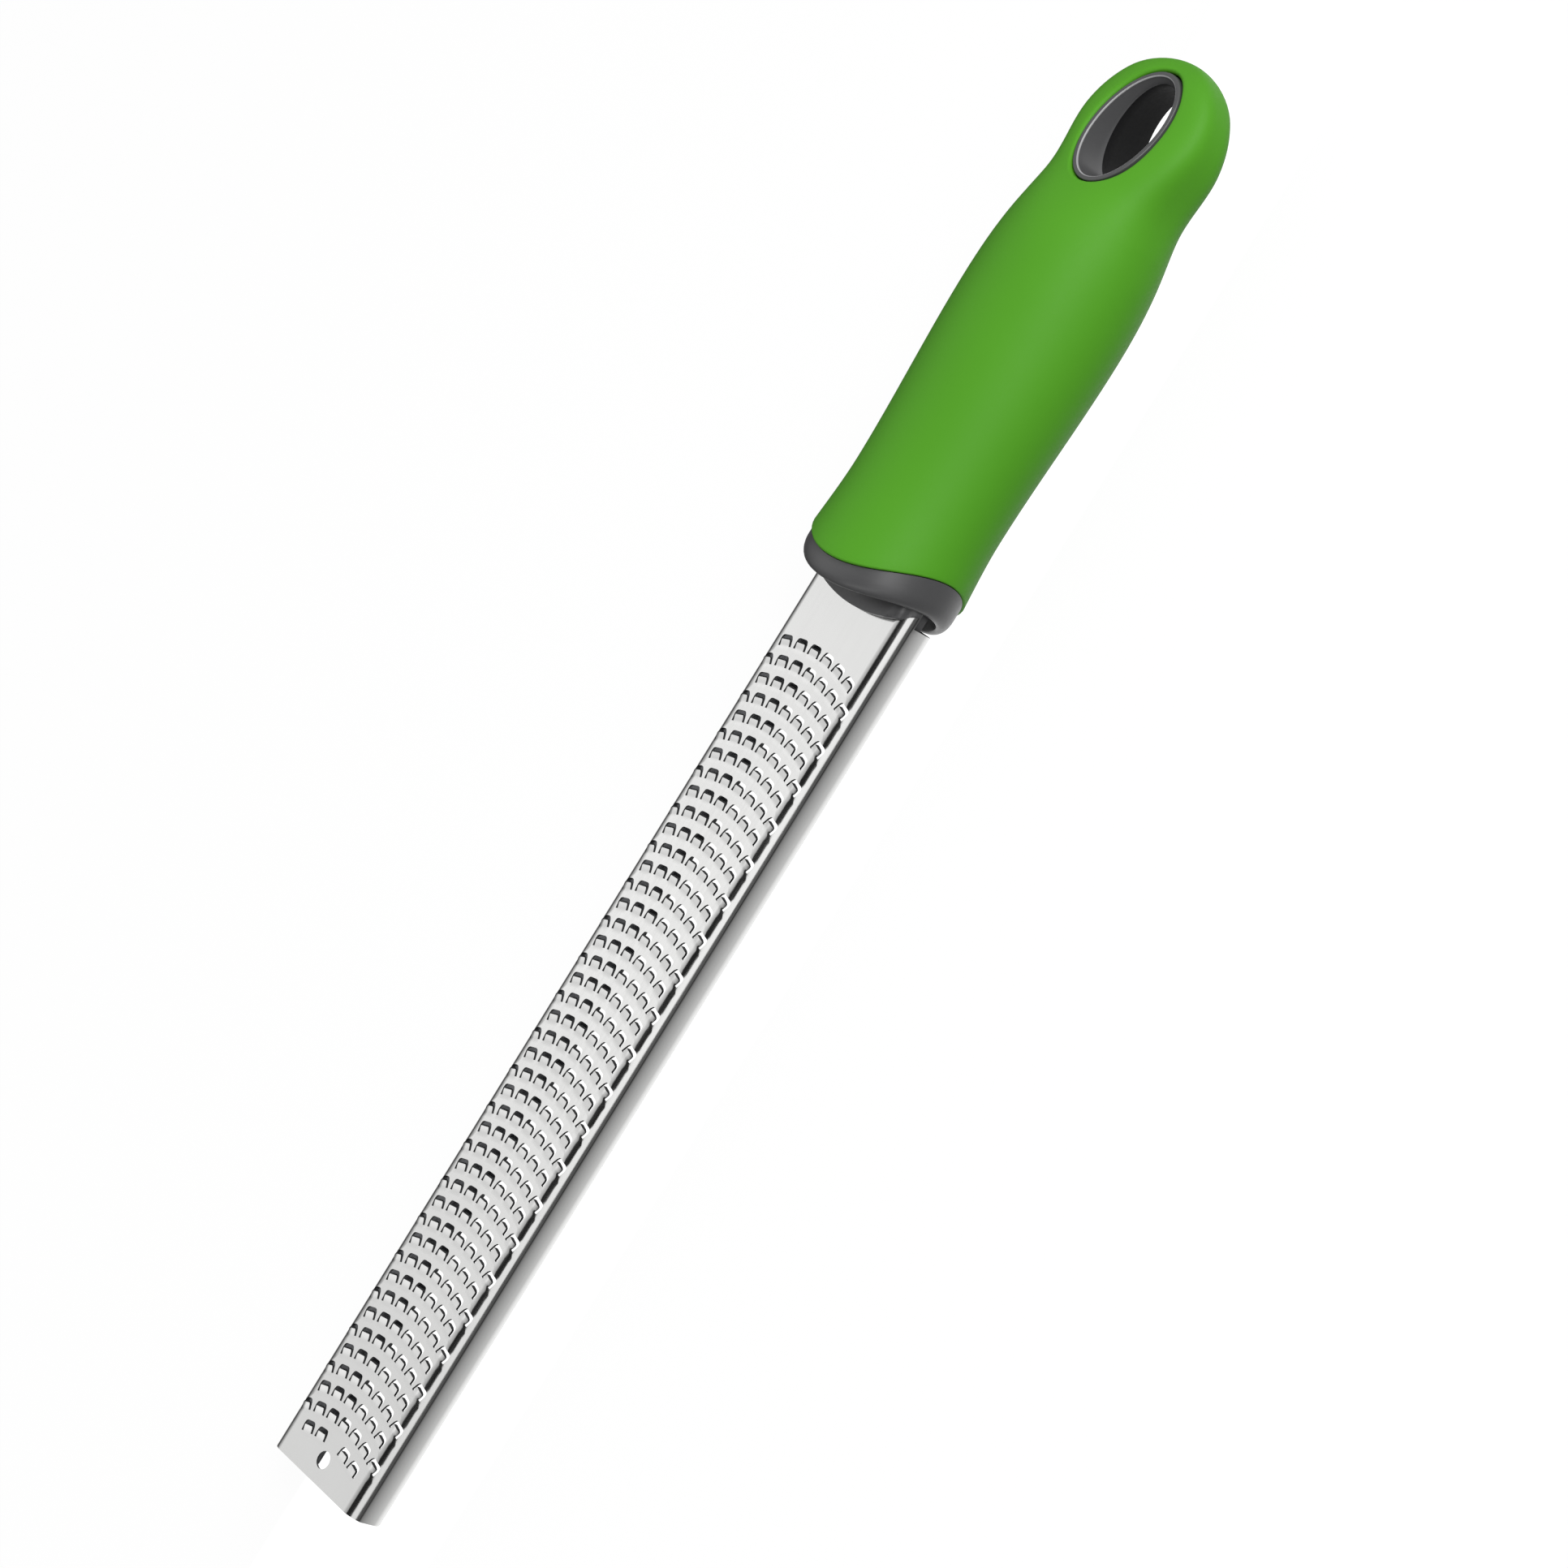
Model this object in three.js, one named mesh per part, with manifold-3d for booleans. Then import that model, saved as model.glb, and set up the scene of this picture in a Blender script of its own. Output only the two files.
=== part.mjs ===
// Cheese grater of the rasp kind: an etched steel channel blade, a hard plastic core that
// grips its tang, a soft sleeve moulded over the core, and a liner in the hanging eye.
// Millimetres. X runs from the blade's tip to the handle's end, Z points out of the toothed face.
// The pieces are laid out from the handle's axis at the collar's mouth, and the whole assembly
// is then set down so that the origin lies under its middle.

import * as THREE from 'three';
import { mergeVertices } from 'three/addons/utils/BufferGeometryUtils.js';
import Module from 'manifold-3d';

const wasm = await Module();
wasm.setup();

// Fits
const CLEARANCE = 0.3;

// Blade: one bent sheet, open below, with a flat tang
const BLADE_REACH = 204;
const BLADE_WIDTH = 29;
const BLADE_DEPTH = 9.6;
const BLADE_RISE = 3;
const SHEET = 0.5;
const TOP_BEND = 2.3;
const HEM_BEND = 2;
const HEM_WIDTH = 4.4;
const TIP_SETBACK = 3.6;
const TIP_HOLE = 3.7;
const TIP_HOLE_INSET = 4.7;
const WALL_END = 0;
const BEND_SEAT = 9;
const TANG_WIDTH = 20;
const TANG_REACH = 48;

// Teeth: rows that bow towards the handle, with six and seven teeth in turn. The row at the tip
// is shorter and leaves its middle free.
const ROW_TEETH = { even: 6, odd: 7, last: 5 };
const ROW_PITCH = 4.333;
const COLUMN_PITCH = 4.2;
const ROW_RADIUS = 37;
const PLAIN_STRIP = 13.4;
const TIP_STRIP = 8.5;
const TOOTH_FIELD_WIDTH = 27.2;
const SLOT_LENGTH = 2.4;
const SLOT_ROOT_WIDTH = 3.7;
const SLOT_EDGE_WIDTH = 3.2;
const SLOT_DEPTH = 2;
const TONGUE_WIDTH = 2.3;
const TONGUE_REACH = 1.35;
const TONGUE_LIFT = 0.45;
const TONGUE_SKIN = 0.08;
const TONGUE_ROOT = 0.1;

// Collar: the bare front end of the core
const COLLAR_WIDTH = 34.8;
const COLLAR_HEIGHT = 31;
const COLLAR_BOW = 4.1;
const COLLAR_EDGE = 1.6;
const RIM_WALL = 2.3;
const RECESS_DEPTH = 4.5;
const LIP_RISE = 1.8;
const LIP_REACH = 1.85;
const LIP_BOW = 2.6;
const LIP_WIDTH = 26;
const PLUG_DEPTH = 7.5;

// Studs of the core that lock the tang
const STUD_DIAMETER = 4.4;
const STUD_PLACES = [20, 38];

// Handle outline: half sizes at the places where the outline turns
const HANDLE_LENGTH = 121;
const GRIP_WALL = 1.8;
const GRIP_START = 4.4;
const GRIP_BOW = 7.1;
const GRIP_BOW_FADE = 35;
const GRIP_EDGE = 0.9;
const GRIP_SEAM = 0.5;
const FRONT = { halfWidth: 18.1, halfHeight: 16.4 };
const WAIST = { fromMouth: 23, halfWidth: 17, halfHeight: 15.3 };
const BELLY = { fromEnd: 58, halfWidth: 18.2, halfHeight: 16.4 };
const SHOULDER = { fromEnd: 41, halfWidth: 17.2, halfHeight: 15.4 };
const NECK = { fromEnd: 29, halfWidth: 15.4, halfHeight: 11.5 };
const EYE_RING = { fromEnd: 16.5, halfWidth: 16.5, halfHeight: 8.2 };
const NOSE_LENGTH = 6;
const ROUND_SECTION = 2;
const SLAB_SECTION = 3.6;

// Hanging eye
const EYE_LENGTH = 24.1;
const EYE_WIDTH = 15.7;
const EYE_FROM_END = 17;
const EYE_WAIST = 0.9;
const LINER_WALL = 1.1;
const LINER_RECESS = 0.4;

// Facets
const RING_SEGMENTS = 28;
const SKIN_STEPS = { body: 18, nose: 7 };
const HIDDEN_STEPS = { body: 9, nose: 5 };
const BEND_SEGMENTS = 3;
const HOLE_SEGMENTS = 16;
const OVERSHOOT = 4;

// Places worked out from the sizes above
const HALF_BLADE = BLADE_WIDTH / 2;
const WALL_HEAD = BLADE_RISE - TOP_BEND;
const WALL_FOOT = BLADE_RISE - BLADE_DEPTH;
const TIP_X = -BLADE_REACH;
const TOOTH_ROWS = Math.floor((BLADE_REACH - PLAIN_STRIP - TIP_STRIP) / ROW_PITCH) + 1;
const EYE_X = HANDLE_LENGTH - EYE_FROM_END;
const RING_X = HANDLE_LENGTH - EYE_RING.fromEnd;
const NECK_X = HANDLE_LENGTH - NECK.fromEnd;
const SHOULDER_X = HANDLE_LENGTH - SHOULDER.fromEnd;
const EYE_TAPER = (NECK.halfHeight - EYE_RING.halfHeight) / (RING_X - NECK_X);

const STEEL = new THREE.MeshStandardMaterial({ color: 0xc9cbcc, roughness: 0.28, metalness: 1 });
const HARD_PLASTIC = new THREE.MeshStandardMaterial({ color: 0x4b4b4b, roughness: 0.45, metalness: 0 });
const SOFT_GREEN = new THREE.MeshStandardMaterial({ color: 0x5a9e36, roughness: 0.6, metalness: 0 });

// Turns a closed geometry into a solid that can be joined and cut.
function toSolid(geometry) {
  const bare = geometry.clone();
  bare.deleteAttribute('normal');
  bare.deleteAttribute('uv');
  const merged = mergeVertices(bare, 1e-4);
  const triVerts = Uint32Array.from(merged.index.array);
  const vertProperties = Float32Array.from(merged.attributes.position.array);
  return new wasm.Manifold(new wasm.Mesh({ numProp: 3, vertProperties, triVerts }));
}

// Turns a solid back into a flat-shaded geometry.
function toGeometry(solid) {
  const mesh = solid.getMesh();
  const geometry = new THREE.BufferGeometry();
  geometry.setAttribute('position', new THREE.BufferAttribute(mesh.vertProperties, 3));
  geometry.setIndex(new THREE.BufferAttribute(mesh.triVerts, 1));
  const faceted = geometry.toNonIndexed();
  faceted.computeVertexNormals();
  return faceted;
}

function named(name, solid, material) {
  const mesh = new THREE.Mesh(toGeometry(solid), material);
  mesh.name = name;
  return mesh;
}

// Extrudes a section drawn in (y, z) along X.
function alongX(shape, start, end) {
  const geometry = new THREE.ExtrudeGeometry(shape, { depth: end - start, bevelEnabled: false });
  const axes = new THREE.Matrix4().makeBasis(
    new THREE.Vector3(0, 1, 0), new THREE.Vector3(0, 0, 1), new THREE.Vector3(1, 0, 0));
  return toSolid(geometry.applyMatrix4(axes).translate(start, 0, 0));
}

// Extrudes a side view drawn in (x, z) across Y, centred.
function acrossY(shape, width) {
  const geometry = new THREE.ExtrudeGeometry(shape, { depth: width, bevelEnabled: false });
  return toSolid(geometry.translate(0, 0, -width / 2).rotateX(Math.PI / 2));
}

// Extrudes a plan drawn in (x, y) between two heights.
function alongZ(shape, bottom, top) {
  const geometry = new THREE.ExtrudeGeometry(shape, {
    depth: top - bottom, bevelEnabled: false, curveSegments: HOLE_SEGMENTS / 2,
  });
  return toSolid(geometry.translate(0, 0, bottom));
}

function polygon(points) {
  return new THREE.Shape(points.map(([u, v]) => new THREE.Vector2(u, v)));
}

function arcPoints({ y, z, radius }, inset, from, to) {
  const points = [];
  for (let i = 0; i <= BEND_SEGMENTS; i += 1) {
    const turn = from + (to - from) * (i / BEND_SEGMENTS);
    points.push([y + (radius - inset) * Math.cos(turn), z + (radius - inset) * Math.sin(turn)]);
  }
  return points;
}

function uprightRod(x, diameter, bottom, top) {
  const rod = new THREE.CylinderGeometry(diameter / 2, diameter / 2, top - bottom, HOLE_SEGMENTS);
  return toSolid(rod.rotateX(Math.PI / 2).translate(x, 0, (bottom + top) / 2));
}

function middleOf(ring) {
  return ring.reduce((sum, point) => sum.add(point), new THREE.Vector3()).divideScalar(ring.length);
}

// Skins a row of rings, each a closed loop of the same number of points, and closes both ends on a point.
function loft(rings, firstPole = middleOf(rings[0]), lastPole = middleOf(rings.at(-1))) {
  const count = rings[0].length;
  const points = [...rings.flat(), firstPole, lastPole];
  const firstCap = points.length - 2;
  const lastCap = points.length - 1;
  const index = [];
  for (let j = 0; j < count; j += 1) {
    const next = (j + 1) % count;
    index.push(firstCap, next, j);
    for (let i = 0; i < rings.length - 1; i += 1) {
      const near = i * count;
      const far = near + count;
      index.push(near + j, near + next, far + next, near + j, far + next, far + j);
    }
    const last = (rings.length - 1) * count;
    index.push(lastCap, last + j, last + next);
  }
  const geometry = new THREE.BufferGeometry().setFromPoints(points);
  geometry.setIndex(index);
  return toSolid(geometry);
}

// A smooth curve through [x, value] stations that leaves the last one at a given slope.
function smoothThrough(stations, endSlope) {
  const last = stations.length - 1;
  const slope = (i) => {
    if (i === last) return endSlope;
    const [x0, v0] = stations[Math.max(i - 1, 0)];
    const [x1, v1] = stations[i + 1];
    return (v1 - v0) / (x1 - x0);
  };
  return (x) => {
    let i = 0;
    while (i < last - 1 && x > stations[i + 1][0]) i += 1;
    const [x0, v0] = stations[i];
    const [x1, v1] = stations[i + 1];
    const span = x1 - x0;
    const t = (x - x0) / span;
    const rise = 3 * t * t - 2 * t * t * t;
    const lead = t * (1 - t) * (1 - t);
    const tail = t * t * (t - 1);
    return v0 + (v1 - v0) * rise + (slope(i) * lead + slope(i + 1) * tail) * span;
  };
}

function outlineStations(key) {
  return [
    [GRIP_START, FRONT[key]],
    [WAIST.fromMouth, WAIST[key]],
    [HANDLE_LENGTH - BELLY.fromEnd, BELLY[key]],
    [SHOULDER_X, SHOULDER[key]],
    [NECK_X, NECK[key]],
    [RING_X, EYE_RING[key]],
  ];
}

const bodyWidth = smoothThrough(outlineStations('halfWidth'), 0);
const bodyHeight = smoothThrough(outlineStations('halfHeight'), -EYE_TAPER);

// Half width of the handle in plan, set in from its skin: a smooth body with a round end.
function halfWidthAt(x, inset) {
  if (x <= RING_X) return bodyWidth(x) - inset;
  const along = (x - RING_X) / (EYE_RING.fromEnd - inset);
  return (EYE_RING.halfWidth - inset) * Math.sqrt(Math.max(0, 1 - along * along));
}

// Half height of the handle, set in from its skin: it tapers past the eye to a blunt nose.
function halfHeightAt(x, inset) {
  const straight = x <= RING_X ? bodyHeight(x) : EYE_RING.halfHeight - EYE_TAPER * (x - RING_X);
  const noseStart = HANDLE_LENGTH - NOSE_LENGTH;
  if (x <= noseStart) return straight - inset;
  const along = (x - noseStart) / (NOSE_LENGTH - inset);
  return (straight - inset) * Math.sqrt(Math.max(0, 1 - along * along));
}

// The section turns from an ellipse at the shoulder to a round-edged slab at the eye.
function sectionPower(x) {
  return THREE.MathUtils.lerp(ROUND_SECTION, SLAB_SECTION, THREE.MathUtils.smoothstep(x, SHOULDER_X, RING_X));
}

function signedPower(value, power) {
  return Math.sign(value) * Math.abs(value) ** power;
}

// One ring round the handle's axis. The bow sets its two sides back towards the handle's end.
function ringAt(x, bow, sizesAt) {
  const ring = [];
  for (let j = 0; j < RING_SEGMENTS; j += 1) {
    const turn = (j / RING_SEGMENTS) * 2 * Math.PI;
    const place = x + bow * Math.cos(turn) ** 2;
    const { halfWidth, halfHeight, power } = sizesAt(place);
    ring.push(new THREE.Vector3(
      place,
      halfWidth * signedPower(Math.cos(turn), 2 / power),
      halfHeight * signedPower(Math.sin(turn), 2 / power)));
  }
  return ring;
}

function skinAt(inset) {
  return (x) => ({
    halfWidth: halfWidthAt(x, inset), halfHeight: halfHeightAt(x, inset), power: sectionPower(x),
  });
}

function ovalOf(width, height) {
  return () => ({ halfWidth: width / 2, halfHeight: height / 2, power: ROUND_SECTION });
}

function gripBowAt(x) {
  return GRIP_BOW * Math.max(0, 1 - (x - GRIP_START) / GRIP_BOW_FADE);
}

// Rings of the handle's form from a start to its nose, set in from the skin.
function handleRings(start, inset, steps) {
  const rings = [];
  for (let i = 0; i <= steps.body; i += 1) {
    const x = start + (RING_X - start) * (i / steps.body);
    rings.push(ringAt(x, gripBowAt(x), skinAt(inset)));
  }
  const reach = EYE_RING.fromEnd - inset;
  for (let i = 1; i < steps.nose; i += 1) {
    const x = RING_X + reach * Math.sin((i / steps.nose) * (Math.PI / 2));
    rings.push(ringAt(x, 0, skinAt(inset)));
  }
  return rings;
}

function nosePole(inset) {
  return new THREE.Vector3(HANDLE_LENGTH - inset, 0, 0);
}

// Section of the blade: a channel with turned-in hems, grown all round by a clearance.
function channelSection(grow) {
  const side = HALF_BLADE + grow;
  const top = BLADE_RISE + grow;
  const bottom = BLADE_RISE - BLADE_DEPTH - grow;
  const wall = SHEET + 2 * grow;
  const hemEnd = HALF_BLADE - HEM_WIDTH - grow;
  const topBend = { y: side - TOP_BEND - grow, z: top - TOP_BEND - grow, radius: TOP_BEND + grow };
  const hemBend = { y: side - HEM_BEND - grow, z: bottom + HEM_BEND + grow, radius: HEM_BEND + grow };
  const quarter = Math.PI / 2;
  const outer = [
    [hemEnd, bottom], ...arcPoints(hemBend, 0, -quarter, 0), ...arcPoints(topBend, 0, 0, quarter),
  ];
  const inner = [
    ...arcPoints(topBend, wall, quarter, 0), ...arcPoints(hemBend, wall, 0, -quarter),
    [hemEnd, bottom + wall],
  ];
  const mirrored = (points) => points.map(([y, z]) => [-y, z]).reverse();
  return polygon([...outer, ...mirrored(outer), ...mirrored(inner), ...inner]);
}

// The channel from one place to another. Its side walls end at the collar's mouth, and only the top
// sheet with its two bends runs on into the collar.
function channel(grow, start, end) {
  const side = HALF_BLADE + grow + OVERSHOOT;
  const foot = WALL_FOOT - grow - OVERSHOOT;
  const head = WALL_HEAD - grow;
  const belowBends = alongX(
    polygon([[-side, foot], [side, foot], [side, head], [-side, head]]), WALL_END + grow, end + OVERSHOOT);
  return alongX(channelSection(grow), start, end).subtract(belowBends);
}

function tangPlate(grow) {
  const half = TANG_WIDTH / 2 + grow;
  const start = BEND_SEAT - OVERSHOOT;
  const end = TANG_REACH + grow;
  const plan = polygon([[start, -half], [end, -half], [end, half], [start, half]]);
  return alongZ(plan, BLADE_RISE - SHEET - grow, BLADE_RISE + grow);
}

// Columns of the teeth in a row, counted from the blade's middle.
function columnsOf(row) {
  const isLast = row === TOOTH_ROWS - 1;
  const count = isLast ? ROW_TEETH.last : [ROW_TEETH.even, ROW_TEETH.odd][row % 2];
  const columns = Array.from({ length: count }, (_, i) => i - (count - 1) / 2);
  return isLast ? columns.filter((column) => column !== 0) : columns;
}

// Where each tooth stands in the toothed face and how far it turns with its row.
function toothPlaces() {
  const places = [];
  for (let row = 0; row < TOOTH_ROWS; row += 1) {
    const crest = -PLAIN_STRIP - row * ROW_PITCH;
    for (const column of columnsOf(row)) {
      const y = column * COLUMN_PITCH;
      const turn = Math.asin(y / ROW_RADIUS);
      places.push({ x: crest - ROW_RADIUS * (1 - Math.cos(turn)), y, turn });
    }
  }
  return places;
}

function atTooth(solid, { x, y, turn }) {
  return solid.rotate([0, 0, THREE.MathUtils.radToDeg(-turn)]).translate([x, y, BLADE_RISE]);
}

function gratingBlade() {
  const slotStart = -SLOT_LENGTH / 2;
  const slot = alongZ(polygon([
    [slotStart, -SLOT_ROOT_WIDTH / 2], [-slotStart, -SLOT_EDGE_WIDTH / 2],
    [-slotStart, SLOT_EDGE_WIDTH / 2], [slotStart, SLOT_ROOT_WIDTH / 2],
  ]), -SLOT_DEPTH, SLOT_DEPTH);
  const tongue = acrossY(polygon([
    [slotStart - TONGUE_ROOT, TONGUE_SKIN - SHEET],
    [slotStart + TONGUE_REACH, TONGUE_LIFT],
    [slotStart - TONGUE_ROOT, -2 * TONGUE_SKIN],
  ]), TONGUE_WIDTH);
  const tipCut = acrossY(polygon([
    [TIP_X - OVERSHOOT, WALL_FOOT - OVERSHOOT], [TIP_X + TIP_SETBACK, WALL_FOOT - OVERSHOOT],
    [TIP_X + TIP_SETBACK, WALL_FOOT], [TIP_X, WALL_HEAD], [TIP_X - OVERSHOOT, WALL_HEAD],
  ]), BLADE_WIDTH + OVERSHOOT);
  const tipHole = uprightRod(TIP_X + TIP_HOLE_INSET, TIP_HOLE, WALL_HEAD, BLADE_RISE + OVERSHOOT);
  const studHoles = STUD_PLACES.map((x) => uprightRod(
    x, STUD_DIAMETER + 2 * CLEARANCE, BLADE_RISE - OVERSHOOT, BLADE_RISE + OVERSHOOT));
  const halfField = TOOTH_FIELD_WIDTH / 2;
  const field = alongZ(polygon([
    [TIP_X, -halfField], [0, -halfField], [0, halfField], [TIP_X, halfField],
  ]), BLADE_RISE - SLOT_DEPTH - OVERSHOOT, BLADE_RISE + OVERSHOOT);
  const places = toothPlaces();
  const slots = wasm.Manifold.union(places.map((place) => atTooth(slot, place))).intersect(field);
  const teeth = places.map((place) => atTooth(tongue, place));
  const strip = channel(0, TIP_X, BEND_SEAT).add(tangPlate(0));
  const pierced = strip.subtract(wasm.Manifold.union([tipCut, tipHole, ...studHoles, slots]));
  return wasm.Manifold.union([pierced, ...teeth]);
}

// The lip over the toothed face and the plug inside the channel, with a bowed front edge.
function mouthPlug() {
  const half = LIP_WIDTH / 2;
  const sideX = LIP_BOW - LIP_REACH;
  const bowRadius = (half ** 2 + LIP_BOW ** 2) / (2 * LIP_BOW);
  const bowTurn = Math.asin(half / bowRadius);
  const back = RECESS_DEPTH + COLLAR_BOW + OVERSHOOT;
  const plan = new THREE.Shape();
  plan.moveTo(back, half);
  plan.lineTo(sideX, half);
  plan.absarc(bowRadius - LIP_REACH, 0, bowRadius, Math.PI - bowTurn, Math.PI + bowTurn, false);
  plan.lineTo(back, -half);
  plan.closePath();
  return alongZ(plan, BLADE_RISE - PLUG_DEPTH, BLADE_RISE + LIP_RISE);
}

// Plan of the eye, grown from its clear opening.
function eyeRing(grow, z) {
  const ring = [];
  for (let j = 0; j < RING_SEGMENTS; j += 1) {
    const turn = (j / RING_SEGMENTS) * 2 * Math.PI;
    ring.push(new THREE.Vector3(
      EYE_X + (EYE_LENGTH / 2 + grow) * Math.cos(turn), (EYE_WIDTH / 2 + grow) * Math.sin(turn), z));
  }
  return ring;
}

function eyeHole(grow) {
  const reach = FRONT.halfHeight + OVERSHOOT;
  return loft([eyeRing(grow, -reach), eyeRing(grow, reach)]);
}

function handleCore() {
  const collarBack = GRIP_START - GRIP_SEAM;
  const coreInset = GRIP_WALL + CLEARANCE;
  const edge = (cut) => ovalOf(COLLAR_WIDTH - 2 * cut, COLLAR_HEIGHT - 2 * cut);
  const halfEdge = COLLAR_EDGE * (1 - Math.SQRT1_2);
  const rings = [
    ringAt(0, COLLAR_BOW, edge(COLLAR_EDGE)),
    ringAt(halfEdge, COLLAR_BOW, edge(halfEdge)),
    ringAt(COLLAR_EDGE, COLLAR_BOW, edge(0)),
    ringAt(collarBack, GRIP_BOW, edge(0)),
    ringAt(collarBack, GRIP_BOW, skinAt(coreInset)),
    ...handleRings(GRIP_START, coreInset, HIDDEN_STEPS),
  ];
  const form = loft(rings, middleOf(rings[0]), nosePole(coreInset));
  const hollow = ovalOf(COLLAR_WIDTH - 2 * RIM_WALL, COLLAR_HEIGHT - 2 * RIM_WALL);
  const recess = loft([ringAt(-OVERSHOOT, COLLAR_BOW, hollow), ringAt(RECESS_DEPTH, COLLAR_BOW, hollow)]);
  const bladeSeat = channel(CLEARANCE, -LIP_REACH - OVERSHOOT, BEND_SEAT + CLEARANCE);
  const studs = STUD_PLACES.map((x) => uprightRod(
    x, STUD_DIAMETER, BLADE_RISE - OVERSHOOT, BLADE_RISE + OVERSHOOT));
  const tangSlot = tangPlate(CLEARANCE).subtract(wasm.Manifold.union(studs));
  return form.subtract(recess).add(mouthPlug())
    .subtract(bladeSeat).subtract(tangSlot).subtract(eyeHole(LINER_WALL + CLEARANCE));
}

function softGrip() {
  const halfEdge = GRIP_EDGE * (1 - Math.SQRT1_2);
  const rings = [
    ...handleRings(GRIP_START, GRIP_WALL, HIDDEN_STEPS).reverse(),
    ringAt(GRIP_START, GRIP_BOW, skinAt(GRIP_EDGE)),
    ringAt(GRIP_START + halfEdge, GRIP_BOW, skinAt(halfEdge)),
    ...handleRings(GRIP_START + GRIP_EDGE, 0, SKIN_STEPS),
  ];
  const form = loft(rings, nosePole(GRIP_WALL), nosePole(0));
  return form.subtract(eyeHole(LINER_WALL + CLEARANCE));
}

// The liner's two mouths lie in the tapering faces of the handle, a little below the soft skin.
function hangEyeLiner() {
  const reach = EYE_LENGTH / 2 + LINER_WALL;
  const mouthAt = (x) => EYE_RING.halfHeight - LINER_RECESS - EYE_TAPER * (x - RING_X);
  const near = EYE_X - reach - OVERSHOOT;
  const far = EYE_X + reach + OVERSHOOT;
  const between = acrossY(polygon([
    [near, -mouthAt(near)], [far, -mouthAt(far)], [far, mouthAt(far)], [near, mouthAt(near)],
  ]), EYE_WIDTH + 2 * LINER_WALL + OVERSHOOT);
  const height = mouthAt(near);
  const bore = loft([eyeRing(0, -height), eyeRing(-EYE_WAIST, 0), eyeRing(0, height)]);
  return eyeHole(LINER_WALL).intersect(between).subtract(bore);
}

const grater = new THREE.Group();
grater.add(
  named('grating_blade', gratingBlade(), STEEL),
  named('handle_core', handleCore(), HARD_PLASTIC),
  named('soft_grip', softGrip(), SOFT_GREEN),
  named('hang_eye_liner', hangEyeLiner(), HARD_PLASTIC),
);
grater.position.set((BLADE_REACH - HANDLE_LENGTH) / 2, 0, Math.max(FRONT.halfHeight, BELLY.halfHeight));

export default grater;
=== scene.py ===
"""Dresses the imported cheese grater: finer pieces, procedural finishes, floor, lights and camera."""

import logging
import math
from collections.abc import Callable, Iterable
from dataclasses import dataclass, field
from enum import Enum
from functools import partial

import bmesh
import bpy
from bmesh.types import BMEdge, BMesh, BMVert
from bpy.types import Material, Mesh, Node, NodeSocket, NodeTree, Object, World
from mathutils import Matrix, Vector

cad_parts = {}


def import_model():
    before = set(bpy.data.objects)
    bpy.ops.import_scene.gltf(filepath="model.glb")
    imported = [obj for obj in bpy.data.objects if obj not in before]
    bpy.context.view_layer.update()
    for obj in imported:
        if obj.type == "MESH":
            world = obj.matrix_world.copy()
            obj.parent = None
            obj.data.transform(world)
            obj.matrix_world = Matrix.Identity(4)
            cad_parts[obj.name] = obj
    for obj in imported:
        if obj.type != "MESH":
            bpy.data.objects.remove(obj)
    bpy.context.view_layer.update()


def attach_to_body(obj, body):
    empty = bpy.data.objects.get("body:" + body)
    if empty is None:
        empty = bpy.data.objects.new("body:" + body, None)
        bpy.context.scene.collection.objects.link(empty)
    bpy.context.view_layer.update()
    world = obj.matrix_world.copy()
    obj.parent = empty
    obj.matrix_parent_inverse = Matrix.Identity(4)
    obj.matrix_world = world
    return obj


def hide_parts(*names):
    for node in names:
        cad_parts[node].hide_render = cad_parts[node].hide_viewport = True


LOG = logging.getLogger("cheese_grater")

MM_PER_METRE = 1000
# The pieces are drawn in millimetres from the handle's axis at the collar's mouth.
# That point lies here in the frame, in metres.
MOUTH = (0.0415, 0.0, 0.0164)
TO_FRAME = Matrix.Translation(MOUTH) @ Matrix.Scale(1 / MM_PER_METRE, 4)
QUARTER = math.pi / 2
FULL_TURN = 2 * math.pi
RING_SEGMENTS = 72
# Points of a shell that lie closer than this are one point.
WELD = 0.003
# Points nearer to a line than this lie on it.
TOUCH = 1e-4
# A noise texture's values seldom leave this range.
NOISE_RANGE = (0.3, 0.7)
WHITE = (1.0, 1.0, 1.0, 1.0)

Pair = tuple[float, float]
Pairs = tuple[Pair, ...]
Shares = tuple[float, ...]
Triple = tuple[float, float, float]
# Gives the place of each numbered point of a ring.
Ring = Callable[[int], Vector]


class Slot(Enum):
    """Material slots of the record."""

    BLADE = "blade_steel"
    CORE = "core_plastic"
    GRIP = "grip_rubber"
    LINER = "liner_plastic"


class Face(Enum):
    """The two faces of the handle's flat end."""

    UPPER = 1
    UNDER = -1


def linear(code: str) -> tuple[float, float, float, float]:
    """Turns an sRGB hex code into a linear colour.

    Args:
        code: A hash sign and six hex digits.

    Returns:
        Red, green, blue and an alpha of one.
    """
    shares = [int(code[i:i + 2], 16) / 255 for i in (1, 3, 5)]
    red, green, blue = (s / 12.92 if s <= 0.04045 else ((s + 0.055) / 1.055) ** 2.4 for s in shares)
    return red, green, blue, 1.0


def add_node(
    tree: NodeTree, kind: str, links: dict[str | int, object] | None = None, **settings: object,
) -> Node:
    """Adds a node, sets its properties and fills its inputs.

    Args:
        tree: The node tree to add to.
        kind: The node's type name.
        links: Input name or number to a value, or to an output socket to link from.
        **settings: Properties of the node.

    Returns:
        The new node.
    """
    node = tree.nodes.new(kind)
    for name, value in settings.items():
        setattr(node, name, value)
    for key, value in (links or {}).items():
        if isinstance(value, NodeSocket):
            tree.links.new(value, node.inputs[key])
        else:
            node.inputs[key].default_value = value
    return node


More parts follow.
